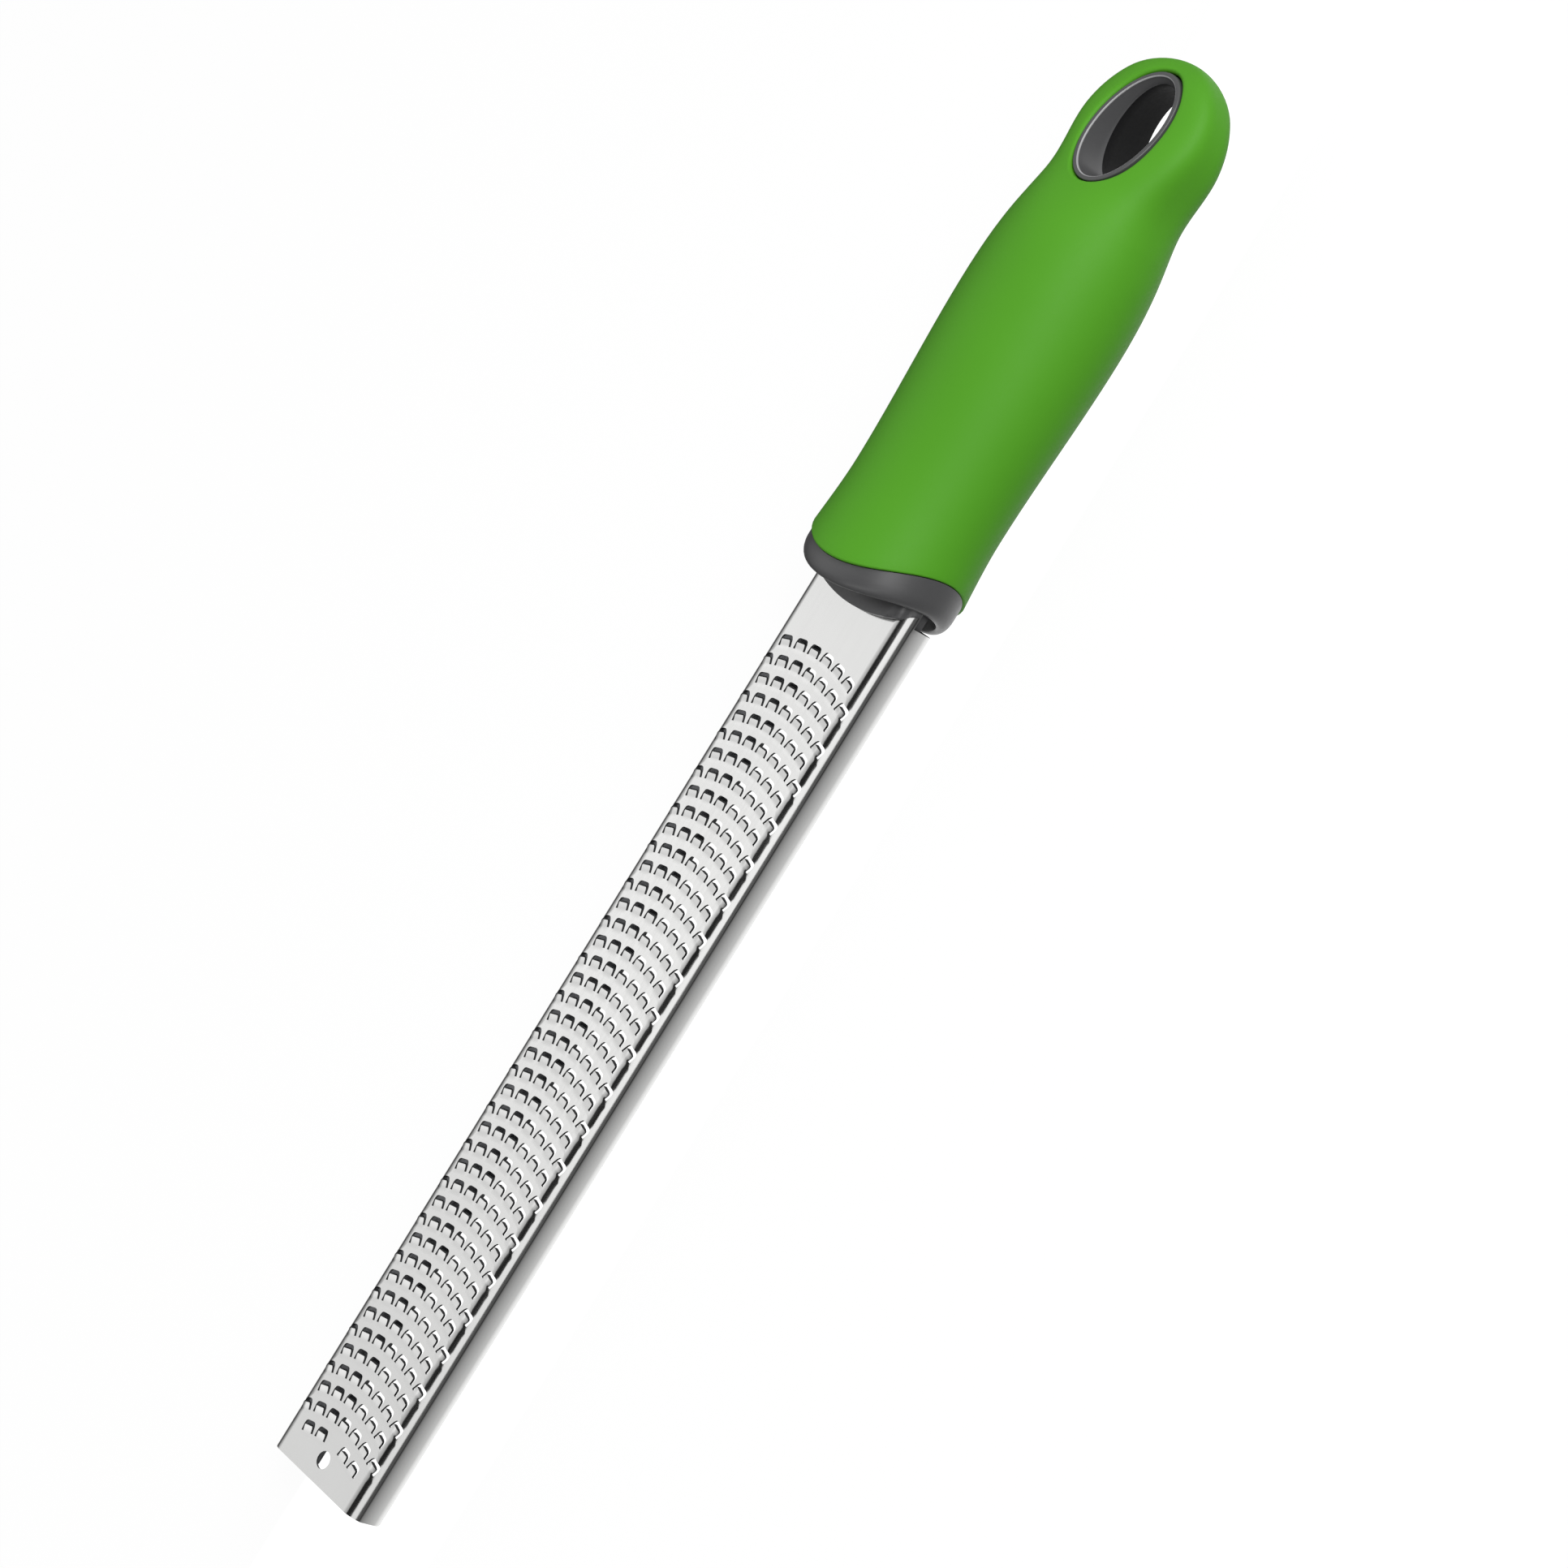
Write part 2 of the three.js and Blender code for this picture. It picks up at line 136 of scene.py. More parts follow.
def reckon(tree: NodeTree, operation: str, *values: object) -> NodeSocket:
    """Adds a math node over two or three values.

    Args:
        tree: The node tree to add to.
        operation: What it works out.
        *values: Numbers, or output sockets to link from.

    Returns:
        The result.
    """
    return add_node(tree, "ShaderNodeMath", dict(enumerate(values)), operation=operation).outputs[0]


def empty_tree(owner: Material | World) -> NodeTree:
    """Turns a material or world to nodes and clears them.

    Args:
        owner: What holds the nodes.

    Returns:
        Its empty node tree.
    """
    owner.use_nodes = True
    owner.node_tree.nodes.clear()
    return owner.node_tree


@dataclass(frozen=True)
class Grain:
    """A fine noise: the size of its grains on each axis in millimetres, and its relief."""

    size_mm: tuple[float, float, float]
    strength: float
    relief_mm: float = 0.05

    @property
    def scale(self) -> Shares:
        """Grains in a metre on each axis."""
        return tuple(MM_PER_METRE / size for size in self.size_mm)


@dataclass(frozen=True)
class Finish:
    """A finish: two tones mixed by a broad cloud, a range of roughness and a fine grain."""

    name: str
    tone: str
    second_tone: str
    roughness: Pair
    grain: Grain
    metallic: float = 0.0
    specular: float = 0.5
    cloud_mm: float = 25.0

    def material(self) -> Material:
        """Builds the finish as a node material, or finds it if it was built before.

        Returns:
            The material.
        """
        made = bpy.data.materials.get(self.name)
        if made:
            return made
        made = bpy.data.materials.new(self.name)
        tree = empty_tree(made)
        place = add_node(tree, "ShaderNodeTexCoord").outputs["Object"]
        cloud = add_node(tree, "ShaderNodeTexNoise", {
            "Vector": place, "Scale": MM_PER_METRE / self.cloud_mm, "Detail": 3.0,
        })
        tone = add_node(tree, "ShaderNodeMix", {
            0: cloud.outputs["Fac"], 6: linear(self.tone), 7: linear(self.second_tone),
        }, data_type="RGBA")
        stretched = add_node(tree, "ShaderNodeMapping", {"Vector": place, "Scale": self.grain.scale})
        fine = add_node(tree, "ShaderNodeTexNoise", {
            "Vector": stretched.outputs["Vector"], "Scale": 1.0, "Detail": 2.0,
        })
        rough = add_node(tree, "ShaderNodeMapRange", {
            "Value": fine.outputs["Fac"], "From Min": NOISE_RANGE[0], "From Max": NOISE_RANGE[1],
            "To Min": self.roughness[0], "To Max": self.roughness[1],
        })
        bump = add_node(tree, "ShaderNodeBump", {
            "Height": fine.outputs["Fac"], "Strength": self.grain.strength,
            "Distance": self.grain.relief_mm / MM_PER_METRE,
        })
        shader = add_node(tree, "ShaderNodeBsdfPrincipled", {
            "Base Color": tone.outputs[2], "Roughness": rough.outputs["Result"],
            "Normal": bump.outputs["Normal"], "Metallic": self.metallic,
            "Specular IOR Level": self.specular,
        })
        add_node(tree, "ShaderNodeOutputMaterial", {"Surface": shader.outputs["BSDF"]})
        return made


# Stainless steel, rolled and etched: bright, with a faint grain along the strip.
STEEL = Finish(
    "etched_stainless_steel", "#d9d9d8", "#d1d1d0", (0.1, 0.18),
    Grain((12.0, 0.6, 0.6), 0.04), metallic=1.0)
# The inner face of the strip, taken to be duller than the outer one and toned darker as painted shade for
# the inside of the channel: it stays dark under the slots.
STEEL_INSIDE = Finish(
    "dull_steel_painted_shade", "#7c7d7f", "#6f7072", (0.4, 0.55),
    Grain((4.0, 0.8, 0.8), 0.1), metallic=1.0)
# Edges that the etching cut, taken to be matt and dark; their dark tone is also painted shade for the
# narrow gaps round the slots: they outline each slot and tooth.
STEEL_CUT = Finish(
    "etched_steel_edge_painted_shade", "#242526", "#262728", (0.5, 0.62),
    Grain((0.4, 0.4, 0.4), 0.1), metallic=0.5)
# Thermoplastic elastomer, moulded with a fine spark texture: soft and almost without gloss.
SOFT_GREEN = Finish(
    "green_soft_touch_elastomer", "#4f981f", "#4b921d", (0.52, 0.62),
    Grain((0.45, 0.45, 0.45), 0.12), specular=0.22)
# Polypropylene, moulded satin: a broad low highlight.
GREY_PLASTIC = Finish(
    "grey_moulded_polypropylene", "#4e4e4f", "#484849", (0.3, 0.38),
    Grain((0.6, 0.6, 0.6), 0.02), specular=0.45)
# The same polypropylene low in the eye's bore. Its tone stands for the deep shade seen there: almost black.
PAINTED_SHADE_PLASTIC = Finish(
    "painted_shade_polypropylene", "#0d0d0e", "#0a0a0b", (0.5, 0.6),
    Grain((0.6, 0.6, 0.6), 0.1), specular=0.1)
# Its fine inner edge, toned pale as a painted highlight: a thin paler line where the light catches it.
PAINTED_HIGHLIGHT_PLASTIC = Finish(
    "painted_highlight_polypropylene_edge", "#a3a3a4", "#8f8f90", (0.3, 0.4),
    Grain((0.6, 0.6, 0.6), 0.05))
BLADE_FINISHES = (STEEL, STEEL_INSIDE, STEEL_CUT)
LINER_FINISHES = (GREY_PLASTIC, PAINTED_SHADE_PLASTIC, PAINTED_HIGHLIGHT_PLASTIC)


def to_mesh(name: str, bm: BMesh) -> Mesh:
    """Turns a drawn mesh into mesh data.

    Args:
        name: The data's name.
        bm: The drawn mesh, which is freed.

    Returns:
        The mesh data.
    """
    mesh = bpy.data.meshes.new(name)
    bm.to_mesh(mesh)
    bm.free()
    return mesh


def to_object(name: str, bm: BMesh, finishes: Iterable[Finish], sharp: float) -> Object:
    """Turns a mesh drawn in millimetres into a smooth-shaded object of the frame.

    Args:
        name: The object's name.
        bm: The drawn mesh, which is freed.
        finishes: One finish for each material index.
        sharp: Edges that turn by more than this angle stay sharp.

    Returns:
        The object, at the origin.
    """
    bmesh.ops.transform(bm, matrix=TO_FRAME, verts=bm.verts)
    mesh = to_mesh(name, bm)
    for finish in finishes:
        mesh.materials.append(finish.material())
    mesh.shade_smooth()
    mesh.set_sharp_from_angle(angle=sharp)
    piece = bpy.data.objects.new(name, mesh)
    bpy.context.scene.collection.objects.link(piece)
    return piece


def attach(piece: Object, node: str, slot: Slot) -> Object:
    """Lets a piece ride on the frame and stand for one of its nodes.

    Args:
        piece: The piece.
        node: The node that it stands for.
        slot: The record's material slot for the piece; not used.

    Returns:
        The piece.
    """
    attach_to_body(piece, "root")
    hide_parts(node)
    return piece


def verts_in(geom: Iterable[object]) -> list[BMVert]:
    """The vertices among the geometry that an operator gives back."""
    return [item for item in geom if isinstance(item, BMVert)]


def grow_edges(bm: BMesh, edges: list[BMEdge]) -> tuple[list[BMVert], list[BMEdge]]:
    """Extrudes a row of edges.

    Args:
        bm: The mesh to draw in.
        edges: The row.

    Returns:
        The new vertices and the new row of edges.
    """
    grown = bmesh.ops.extrude_edge_only(bm, edges=edges)["geom"]
    fresh = verts_in(grown)
    known = set(fresh)
    row = [item for item in grown if isinstance(item, BMEdge) and set(item.verts) <= known]
    return fresh, row


class RingTube:
    """A tube that grows ring by ring from a first circle. Each vertex keeps its number in the ring."""

    def __init__(self, bm: BMesh, segments: int, place: Ring) -> None:
        """Draws the first ring.

        Args:
            bm: The mesh to draw in.
            segments: Points in each ring.
            place: Where each numbered point of the ring lies.
        """
        self.bm = bm
        self.number = bm.verts.layers.int.get("number") or bm.verts.layers.int.new("number")
        verts = bmesh.ops.create_circle(bm, segments=segments, radius=1.0)["verts"]
        for count, vert in enumerate(verts):
            vert[self.number] = count
            vert.co = place(count)
        self.edges = list({edge for vert in verts for edge in vert.link_edges})

    def grow(self, place: Ring) -> None:
        """Extrudes the last ring and sets the new one in its place.

        Args:
            place: Where each numbered point of the new ring lies.
        """
        fresh, self.edges = grow_edges(self.bm, self.edges)
        for vert in fresh:
            vert.co = place(vert[self.number])

    def close(self) -> None:
        """Fills the last ring."""
        bmesh.ops.edgeloop_fill(self.bm, edges=self.edges)


def finish_shell(bm: BMesh) -> None:
    """Joins the seams of a drawn shell and turns its faces outwards.

    Args:
        bm: The shell.
    """
    bmesh.ops.remove_doubles(bm, verts=bm.verts, dist=WELD)
    bmesh.ops.recalc_face_normals(bm, faces=bm.faces)


def smooth_through(stations: list[Pair], end_slope: float) -> Callable[[float], float]:
    """A smooth curve through stations.

    Args:
        stations: Places and values in order.
        end_slope: The curve's slope at the last station.

    Returns:
        The value at a place.
    """
    last = len(stations) - 1

    def slope(i: int) -> float:
        """The curve's slope at a station.

        Args:
            i: The station's number.

        Returns:
            The slope.
        """
        if i == last:
            return end_slope
        (x0, v0), (x1, v1) = stations[max(i - 1, 0)], stations[i + 1]
        return (v1 - v0) / (x1 - x0)

    def value(x: float) -> float:
        """The curve's value at a place.

        Args:
            x: The place.

        Returns:
            The value.
        """
        i = 0
        while i < last - 1 and x > stations[i + 1][0]:
            i += 1
        (x0, v0), (x1, v1) = stations[i], stations[i + 1]
        span = x1 - x0
        t = (x - x0) / span
        blend = slope(i) * t * (1 - t) ** 2 + slope(i + 1) * t * t * (t - 1)
        return v0 + (v1 - v0) * (3 * t * t - 2 * t ** 3) + blend * span

    return value


def even_steps(start: float, end: float, steps: int) -> list[float]:
    """Places in even steps from a start to an end, with both."""
    return [start + (end - start) * i / steps for i in range(steps + 1)]


def quarter_turns(steps: int) -> list[float]:
    """Angles in even steps from nought through a quarter turn."""
    return even_steps(0.0, QUARTER, steps)


def smoothstep(x: float, low: float, high: float) -> float:
    """A smooth rise from nought to one between two places."""
    t = min(1.0, max(0.0, (x - low) / (high - low)))
    return t * t * (3 - 2 * t)


@dataclass
class HandleForm:
    """The handle's outside: an oval body that flattens into a round-ended slab with an eye.

    Each station from waist to eye_ring gives its place along the handle, half width and half height.
    """

    length: float = 121.0
    grip_start: float = 4.4
    grip_bow: float = 7.1
    bow_fade: float = 35.0
    front: Pair = (18.1, 16.4)
    waist: Triple = (23.0, 17.0, 15.3)
    belly: Triple = (63.0, 18.2, 16.4)
    shoulder: Triple = (80.0, 17.2, 15.4)
    neck: Triple = (92.0, 15.0, 11.1)
    eye_ring: Triple = (104.5, 16.5, 8.2)
    nose: float = 6.0
    round_power: float = 2.0
    slab_power: float = 3.6
    eye_x: float = 104.0
    eye_half: Pair = (12.05, 7.85)
    taper: float = field(init=False)
    body_width: Callable[[float], float] = field(init=False, repr=False)
    body_height: Callable[[float], float] = field(init=False, repr=False)

    def __post_init__(self) -> None:
        """Works out the outline curves."""
        self.taper = (self.neck[2] - self.eye_ring[2]) / (self.eye_ring[0] - self.neck[0])
        places = [self.waist, self.belly, self.shoulder, self.neck, self.eye_ring]
        widths = [(self.grip_start, self.front[0]), *((p[0], p[1]) for p in places)]
        heights = [(self.grip_start, self.front[1]), *((p[0], p[2]) for p in places)]
        self.body_width = smooth_through(widths, 0.0)
        self.body_height = smooth_through(heights, -self.taper)

    def half_width(self, x: float) -> float:
        """Half the handle's width.

        Args:
            x: The place along the handle.

        Returns:
            The half width there.
        """
        ring = self.eye_ring[0]
        if x <= ring:
            return self.body_width(x)
        along = (x - ring) / (self.length - ring)
        return self.eye_ring[1] * math.sqrt(max(0.0, 1 - along * along))

    def half_height(self, x: float) -> float:
        """Half the handle's height.

        Args:
            x: The place along the handle.

        Returns:
            The half height there.
        """
        ring = self.eye_ring[0]
        straight = self.body_height(x) if x <= ring else self.eye_ring[2] - self.taper * (x - ring)
        along = max(0.0, (x - self.length + self.nose) / self.nose)
        return straight * math.sqrt(max(0.0, 1 - along * along))

    def power(self, x: float) -> float:
        """How square the handle's section is at a place along it."""
        share = smoothstep(x, self.shoulder[0], self.eye_ring[0])
        return self.round_power + (self.slab_power - self.round_power) * share

    def bow(self, x: float) -> float:
        """How far the sides of a section at a place are set back."""
        return self.grip_bow * max(0.0, 1 - (x - self.grip_start) / self.bow_fade)

    def skin(self, x: float, inset: float, turn: float) -> Vector:
        """A point of the handle's skin.

        Args:
            x: The section's place.
            inset: How far the point lies inside the skin.
            turn: The point's angle in the section.

        Returns:
            The point.
        """
        across, up = math.cos(turn), math.sin(turn)
        place = x + self.bow(x) * across * across
        bend = 2 / self.power(place)
        return Vector((
            place,
            (self.half_width(place) - inset) * math.copysign(abs(across) ** bend, across),
            (self.half_height(place) - inset) * math.copysign(abs(up) ** bend, up)))

    def ring(self, x: float, inset: float) -> Ring:
        """A whole ring of the skin, or of a layer inset from it."""
        return lambda count: self.skin(x, inset, FULL_TURN * count / RING_SEGMENTS)

    def height_over(self, x: float, y: float) -> float:
        """Height of the upper skin over a point of the handle's plan.

        Args:
            x: The point's place along the handle.
            y: Its place across.

        Returns:
            The height, nought on the outline and outside it.
        """
        half, power = self.half_width(x), self.power(x)
        share = min(1.0, abs(y) / half) if half > TOUCH else 1.0
        return self.half_height(x) * (1 - share ** power) ** (1 / power)

    def eye_point(self, turn: float, grow: float) -> Vector:
        """A point of the eye's outline in plan, grown from the clear opening."""
        half_x, half_y = self.eye_half[0] + grow, self.eye_half[1] + grow
        return Vector((self.eye_x + half_x * math.cos(turn), half_y * math.sin(turn), 0.0))


@dataclass
class SoftGrip:
    """The soft sleeve over the core, with its eye."""

    form: HandleForm
    wall: float = 1.8
    edge: float = 0.55
    eye_gap: float = 1.4
    eye_edge: float = 0.8
    hidden: float = 8.0
    split: float = 84.0
    join_reach: float = 4.5
    join_passes: int = 6
    join_pull: float = 0.5
    edge_steps: int = 6
    body_steps: int = 44
    side_steps: int = 14
    nose_steps: int = 20
    patch_steps: int = 18
    patch_ease: float = 2.6
    sharp: float = math.radians(50)

    def body(self, bm: BMesh) -> None:
        """Draws the sleeve's body, from inside its front edge to where the eye's end begins.

        Args:
            bm: The mesh to draw in.
        """
        start, ring = self.form.grip_start, self.form.ring
        tube = RingTube(bm, RING_SEGMENTS, ring(start + self.hidden, self.wall))
        tube.grow(ring(start, self.wall))
        for turn in quarter_turns(self.edge_steps):
            tube.grow(ring(start + self.edge * (1 - math.cos(turn)), self.edge * (1 - math.sin(turn))))
        for x in even_steps(start + self.edge, self.split, self.body_steps)[1:]:
            tube.grow(ring(x, 0.0))

    def end_outline(self) -> list[Vector]:
        """Outline in plan of the end that holds the eye, from one side of the split round to the other.

        Returns:
            Points on the split's ring, then round the nose.
        """
        form = self.form
        split = [form.skin(self.split, 0.0, turn) for turn in even_steps(0.0, math.pi, RING_SEGMENTS // 2)]
        ring = form.eye_ring[0]
        side = even_steps(self.split, ring, self.side_steps)[1:]
        side += [
            ring + (form.length - ring) * math.sin(turn) for turn in quarter_turns(self.nose_steps)[1:-1]]
        far = [Vector((x, -form.half_width(x), 0)) for x in side]
        near = [Vector((x, form.half_width(x), 0)) for x in reversed(side)]
        return [*split, *far, Vector((form.length, 0, 0)), *near]

    def end(self, bm: BMesh, face: Face) -> None:
        """Draws one face of the end: up the eye's wall, over its rounded edge and out to the outline.

        Args:
            bm: The mesh to draw in.
            face: Which face.
        """
        form = self.form
        outline = self.end_outline()
        turns = [math.atan2(p.y / form.eye_half[1], (p.x - form.eye_x) / form.eye_half[0]) for p in outline]
        rims = [form.eye_point(turn, self.eye_gap + self.eye_edge) for turn in turns]

        def wall(count: int) -> Vector:
            """Start of the eye's wall."""
            return form.eye_point(turns[count], self.eye_gap)

        def edge(turn: float, count: int) -> Vector:
            """A point of the eye's rounded edge.

            Args:
                turn: How far the edge has turned there.
                count: The point's number.

            Returns:
                The point.
            """
            plan = form.eye_point(turns[count], self.eye_gap + self.eye_edge * (1 - math.cos(turn)))
            rim = rims[count]
            height = form.height_over(rim.x, rim.y) - self.eye_edge * (1 - math.sin(turn))
            return Vector((plan.x, plan.y, face.value * height))

        def patch(share: float, count: int) -> Vector:
            """A point between the eye's edge and the outline.

            Args:
                share: How far out it lies.
                count: The point's number.

            Returns:
                The point.
            """
            last = outline[count]
            if share == 1.0 and abs(last.z) < TOUCH:
                return last.copy()
            plan = rims[count].lerp(Vector((last.x, last.y, 0)), share)
            return Vector((plan.x, plan.y, face.value * form.height_over(plan.x, plan.y)))

        tube = RingTube(bm, len(outline), wall)
        for turn in quarter_turns(self.edge_steps)[:-1]:
            tube.grow(partial(edge, turn))
        for share in even_steps(0.0, 1.0, self.patch_steps):
            tube.grow(partial(patch, 1 - (1 - share) ** self.patch_ease))

    def relax_joins(self, bm: BMesh) -> None:
        """Evens out the mesh where the body and the two end faces meet, so that no crease shows.

        Args:
            bm: The closed sleeve.
        """
        joins = [self.form.skin(self.split, 0.0, turn) for turn in (0.0, math.pi)]
        near = [v for v in bm.verts if any((v.co - join).length < self.join_reach for join in joins)]
        for _ in range(self.join_passes):
            bmesh.ops.smooth_vert(
                bm, verts=near, factor=self.join_pull, use_axis_x=True, use_axis_y=True, use_axis_z=True)

    def build(self) -> Object:
        """Builds the sleeve.

        Returns:
            The piece.
        """
        bm = bmesh.new()
        self.body(bm)
        self.end(bm, Face.UPPER)
        self.end(bm, Face.UNDER)
        finish_shell(bm)
        self.relax_joins(bm)
        piece = to_object("soft_grip_sleeve", bm, [SOFT_GREEN], self.sharp)
        return attach(piece, "soft_grip", Slot.GRIP)


@dataclass
class HandleCore:
    """The hard core's visible end: a collar with a rounded rim, a recess and the lip over the blade.

    The lip is drawn back at its corners and thinned at its sides. A point more than lip_least over its
    underside is on its top.
    """

    form: HandleForm
    blade: "GratingBlade"
    half: Pair = (17.4, 15.5)
    bow: float = 4.1
    edge: Pair = (3.2, 1.6)
    inner_edge: float = 0.5
    rim_wall: float = 2.3
    recess: float = 4.5
    seam: float = 0.12
    inset: float = 2.1
    lip_rise: float = 1.8
    lip_reach: float = 1.85
    lip_radius: float = 33.8
    lip_half: float = 16.2
    lip_edge: float = 0.4
    lip_edge_steps: int = 4
    lip_corner: Pair = (13.0, 15.0)
    lip_corner_back: float = 0.9
    lip_thin: float = 0.93
    lip_thin_span: Pair = (11.5, 14.5)
    lip_least: float = 0.1
    lip_tail: float = 1.0
    lip_grid: tuple[int, int] = (5, 60)
    plug_half: float = 12.2
    plug_depth: float = 7.5
    plug_tail: float = 4.0
    plug_steps: int = 24
    gap: float = 0.3
    hidden: float = 14.0
    rim_steps: int = 8
    inner_steps: int = 4
    floor_shares: Shares = (0.35, 0.7, 0.95)
    sharp: float = math.radians(40)

    def oval(self, x: float, cut: float, bow: float, count: int) -> Vector:
        """A point of one of the collar's oval rings.

        Args:
            x: Where the ring's top lies along the handle.
            cut: How far the ring is cut in from the collar's side.
            bow: How far its sides are set back.
            count: The point's number.

        Returns:
            The point.
        """
        turn = FULL_TURN * count / RING_SEGMENTS
        across, up = math.cos(turn), math.sin(turn)
        return Vector((x + bow * across * across, (self.half[0] - cut) * across, (self.half[1] - cut) * up))

    def collar(self, bm: BMesh) -> None:
        """Draws the collar from inside the sleeve, round its rim and into its recess.

        Args:
            bm: The mesh to draw in.
        """
        form = self.form
        back = form.grip_start - self.seam
        rings = [(back, 0.0, form.grip_bow)]
        rings.append(((back + self.edge[0]) / 2, 0.0, (form.grip_bow + self.bow) / 2))
        for turn in quarter_turns(self.rim_steps):
            cut = self.edge[1] * (1 - math.cos(turn))
            rings.append((self.edge[0] * (1 - math.sin(turn)), cut, self.bow))
        for turn in quarter_turns(self.inner_steps):
            cut = self.rim_wall - self.inner_edge * (1 - math.sin(turn))
            rings.append((self.inner_edge * (1 - math.cos(turn)), cut, self.bow))
        rings.append((self.recess, self.rim_wall, self.bow))
        for share in self.floor_shares:
            cut = self.rim_wall + (self.half[1] - self.rim_wall) * share
            rings.append((self.recess, cut, self.bow * (1 - share)))
        tube = RingTube(bm, RING_SEGMENTS, form.ring(back + self.hidden, self.inset))
        tube.grow(form.ring(back, self.inset))
        for ring in rings:
            tube.grow(partial(self.oval, *ring))
        tube.close()

    def lip_front(self, v: float) -> float:
        """Where the bowed front edge of the lip lies at a place across the blade."""
        back = self.lip_corner_back * smoothstep(abs(v), *self.lip_corner)
        return self.lip_radius - self.lip_reach - math.sqrt(self.lip_radius ** 2 - v * v) + back

    def plug(self) -> BMesh:
        """Draws the plug inside the channel, with a bowed front.

        Returns:
            The plug.
        """
        bm = bmesh.new()
        bottom, top = self.blade.rise - self.plug_depth, self.blade.rise - self.blade.sheet - self.gap
        start = bm.verts.new((self.lip_front(self.plug_half), self.plug_half, bottom))
        arc = bmesh.ops.spin(
            bm, geom=[start], cent=(self.lip_radius - self.lip_reach, 0, bottom), axis=(0, 0, 1),
            steps=self.plug_steps, angle=2 * math.asin(self.plug_half / self.lip_radius))["geom_last"]
        last = verts_in(arc)[0]
        back = self.recess + self.bow + self.plug_tail
        far = [bm.verts.new((back, side * self.plug_half, bottom)) for side in (-1, 1)]
        for pair in ((last, far[0]), (far[0], far[1]), (far[1], start)):
            bm.edges.new(pair)
        plan = bmesh.ops.contextual_create(bm, geom=bm.edges[:])["faces"]
        raised = bmesh.ops.extrude_face_region(bm, geom=plan)["geom"]
        bmesh.ops.translate(bm, verts=verts_in(raised), vec=(0, 0, top - bottom))
        return bm

    def lip(self) -> BMesh:
        """Draws the lip flat, with a rounded front edge, and wraps it over the blade's top and bends.

        Returns:
            The lip.
        """
        bm = bmesh.new()
        bmesh.ops.create_grid(bm, x_segments=self.lip_grid[0], y_segments=self.lip_grid[1], size=1.0)
        back = self.recess + self.bow + self.lip_tail
        for vert in bm.verts:
            v = vert.co.y * self.lip_half
            front = self.lip_front(v)
            vert.co = (front + (back - front) * (vert.co.x + 1) / 2, v, self.gap)
        raised = bmesh.ops.extrude_face_region(bm, geom=bm.faces[:])["geom"]
        for vert in verts_in(raised):
            thin = self.lip_thin * smoothstep(abs(vert.co.y), *self.lip_thin_span)
            vert.co.z += (self.lip_rise - self.gap) * (1 - thin)
        top = self.gap + self.lip_least
        ahead = {v for v in bm.verts if v.co.z > top and abs(v.co.x - self.lip_front(v.co.y)) < TOUCH}
        bmesh.ops.bevel(
            bm, geom=[edge for edge in bm.edges if set(edge.verts) <= ahead], offset=self.lip_edge,
            offset_type="OFFSET", affect="EDGES", segments=self.lip_edge_steps, profile=0.5, material=-1)
        for vert in bm.verts:
            y, z = self.blade.on_section(vert.co.y, vert.co.z)
            vert.co = (vert.co.x, y, z)
        return bm

    def build(self) -> Object:
        """Builds the core's visible end.

        Returns:
            The piece.
        """
        bm = bmesh.new()
        self.collar(bm)
        finish_shell(bm)
        for block in (self.lip(), self.plug()):
            bmesh.ops.recalc_face_normals(block, faces=block.faces)
            mesh = to_mesh("block", block)
            bm.from_mesh(mesh)
            bpy.data.meshes.remove(mesh)
        piece = to_object("handle_collar", bm, [GREY_PLASTIC], self.sharp)
        return attach(piece, "handle_core", Slot.CORE)


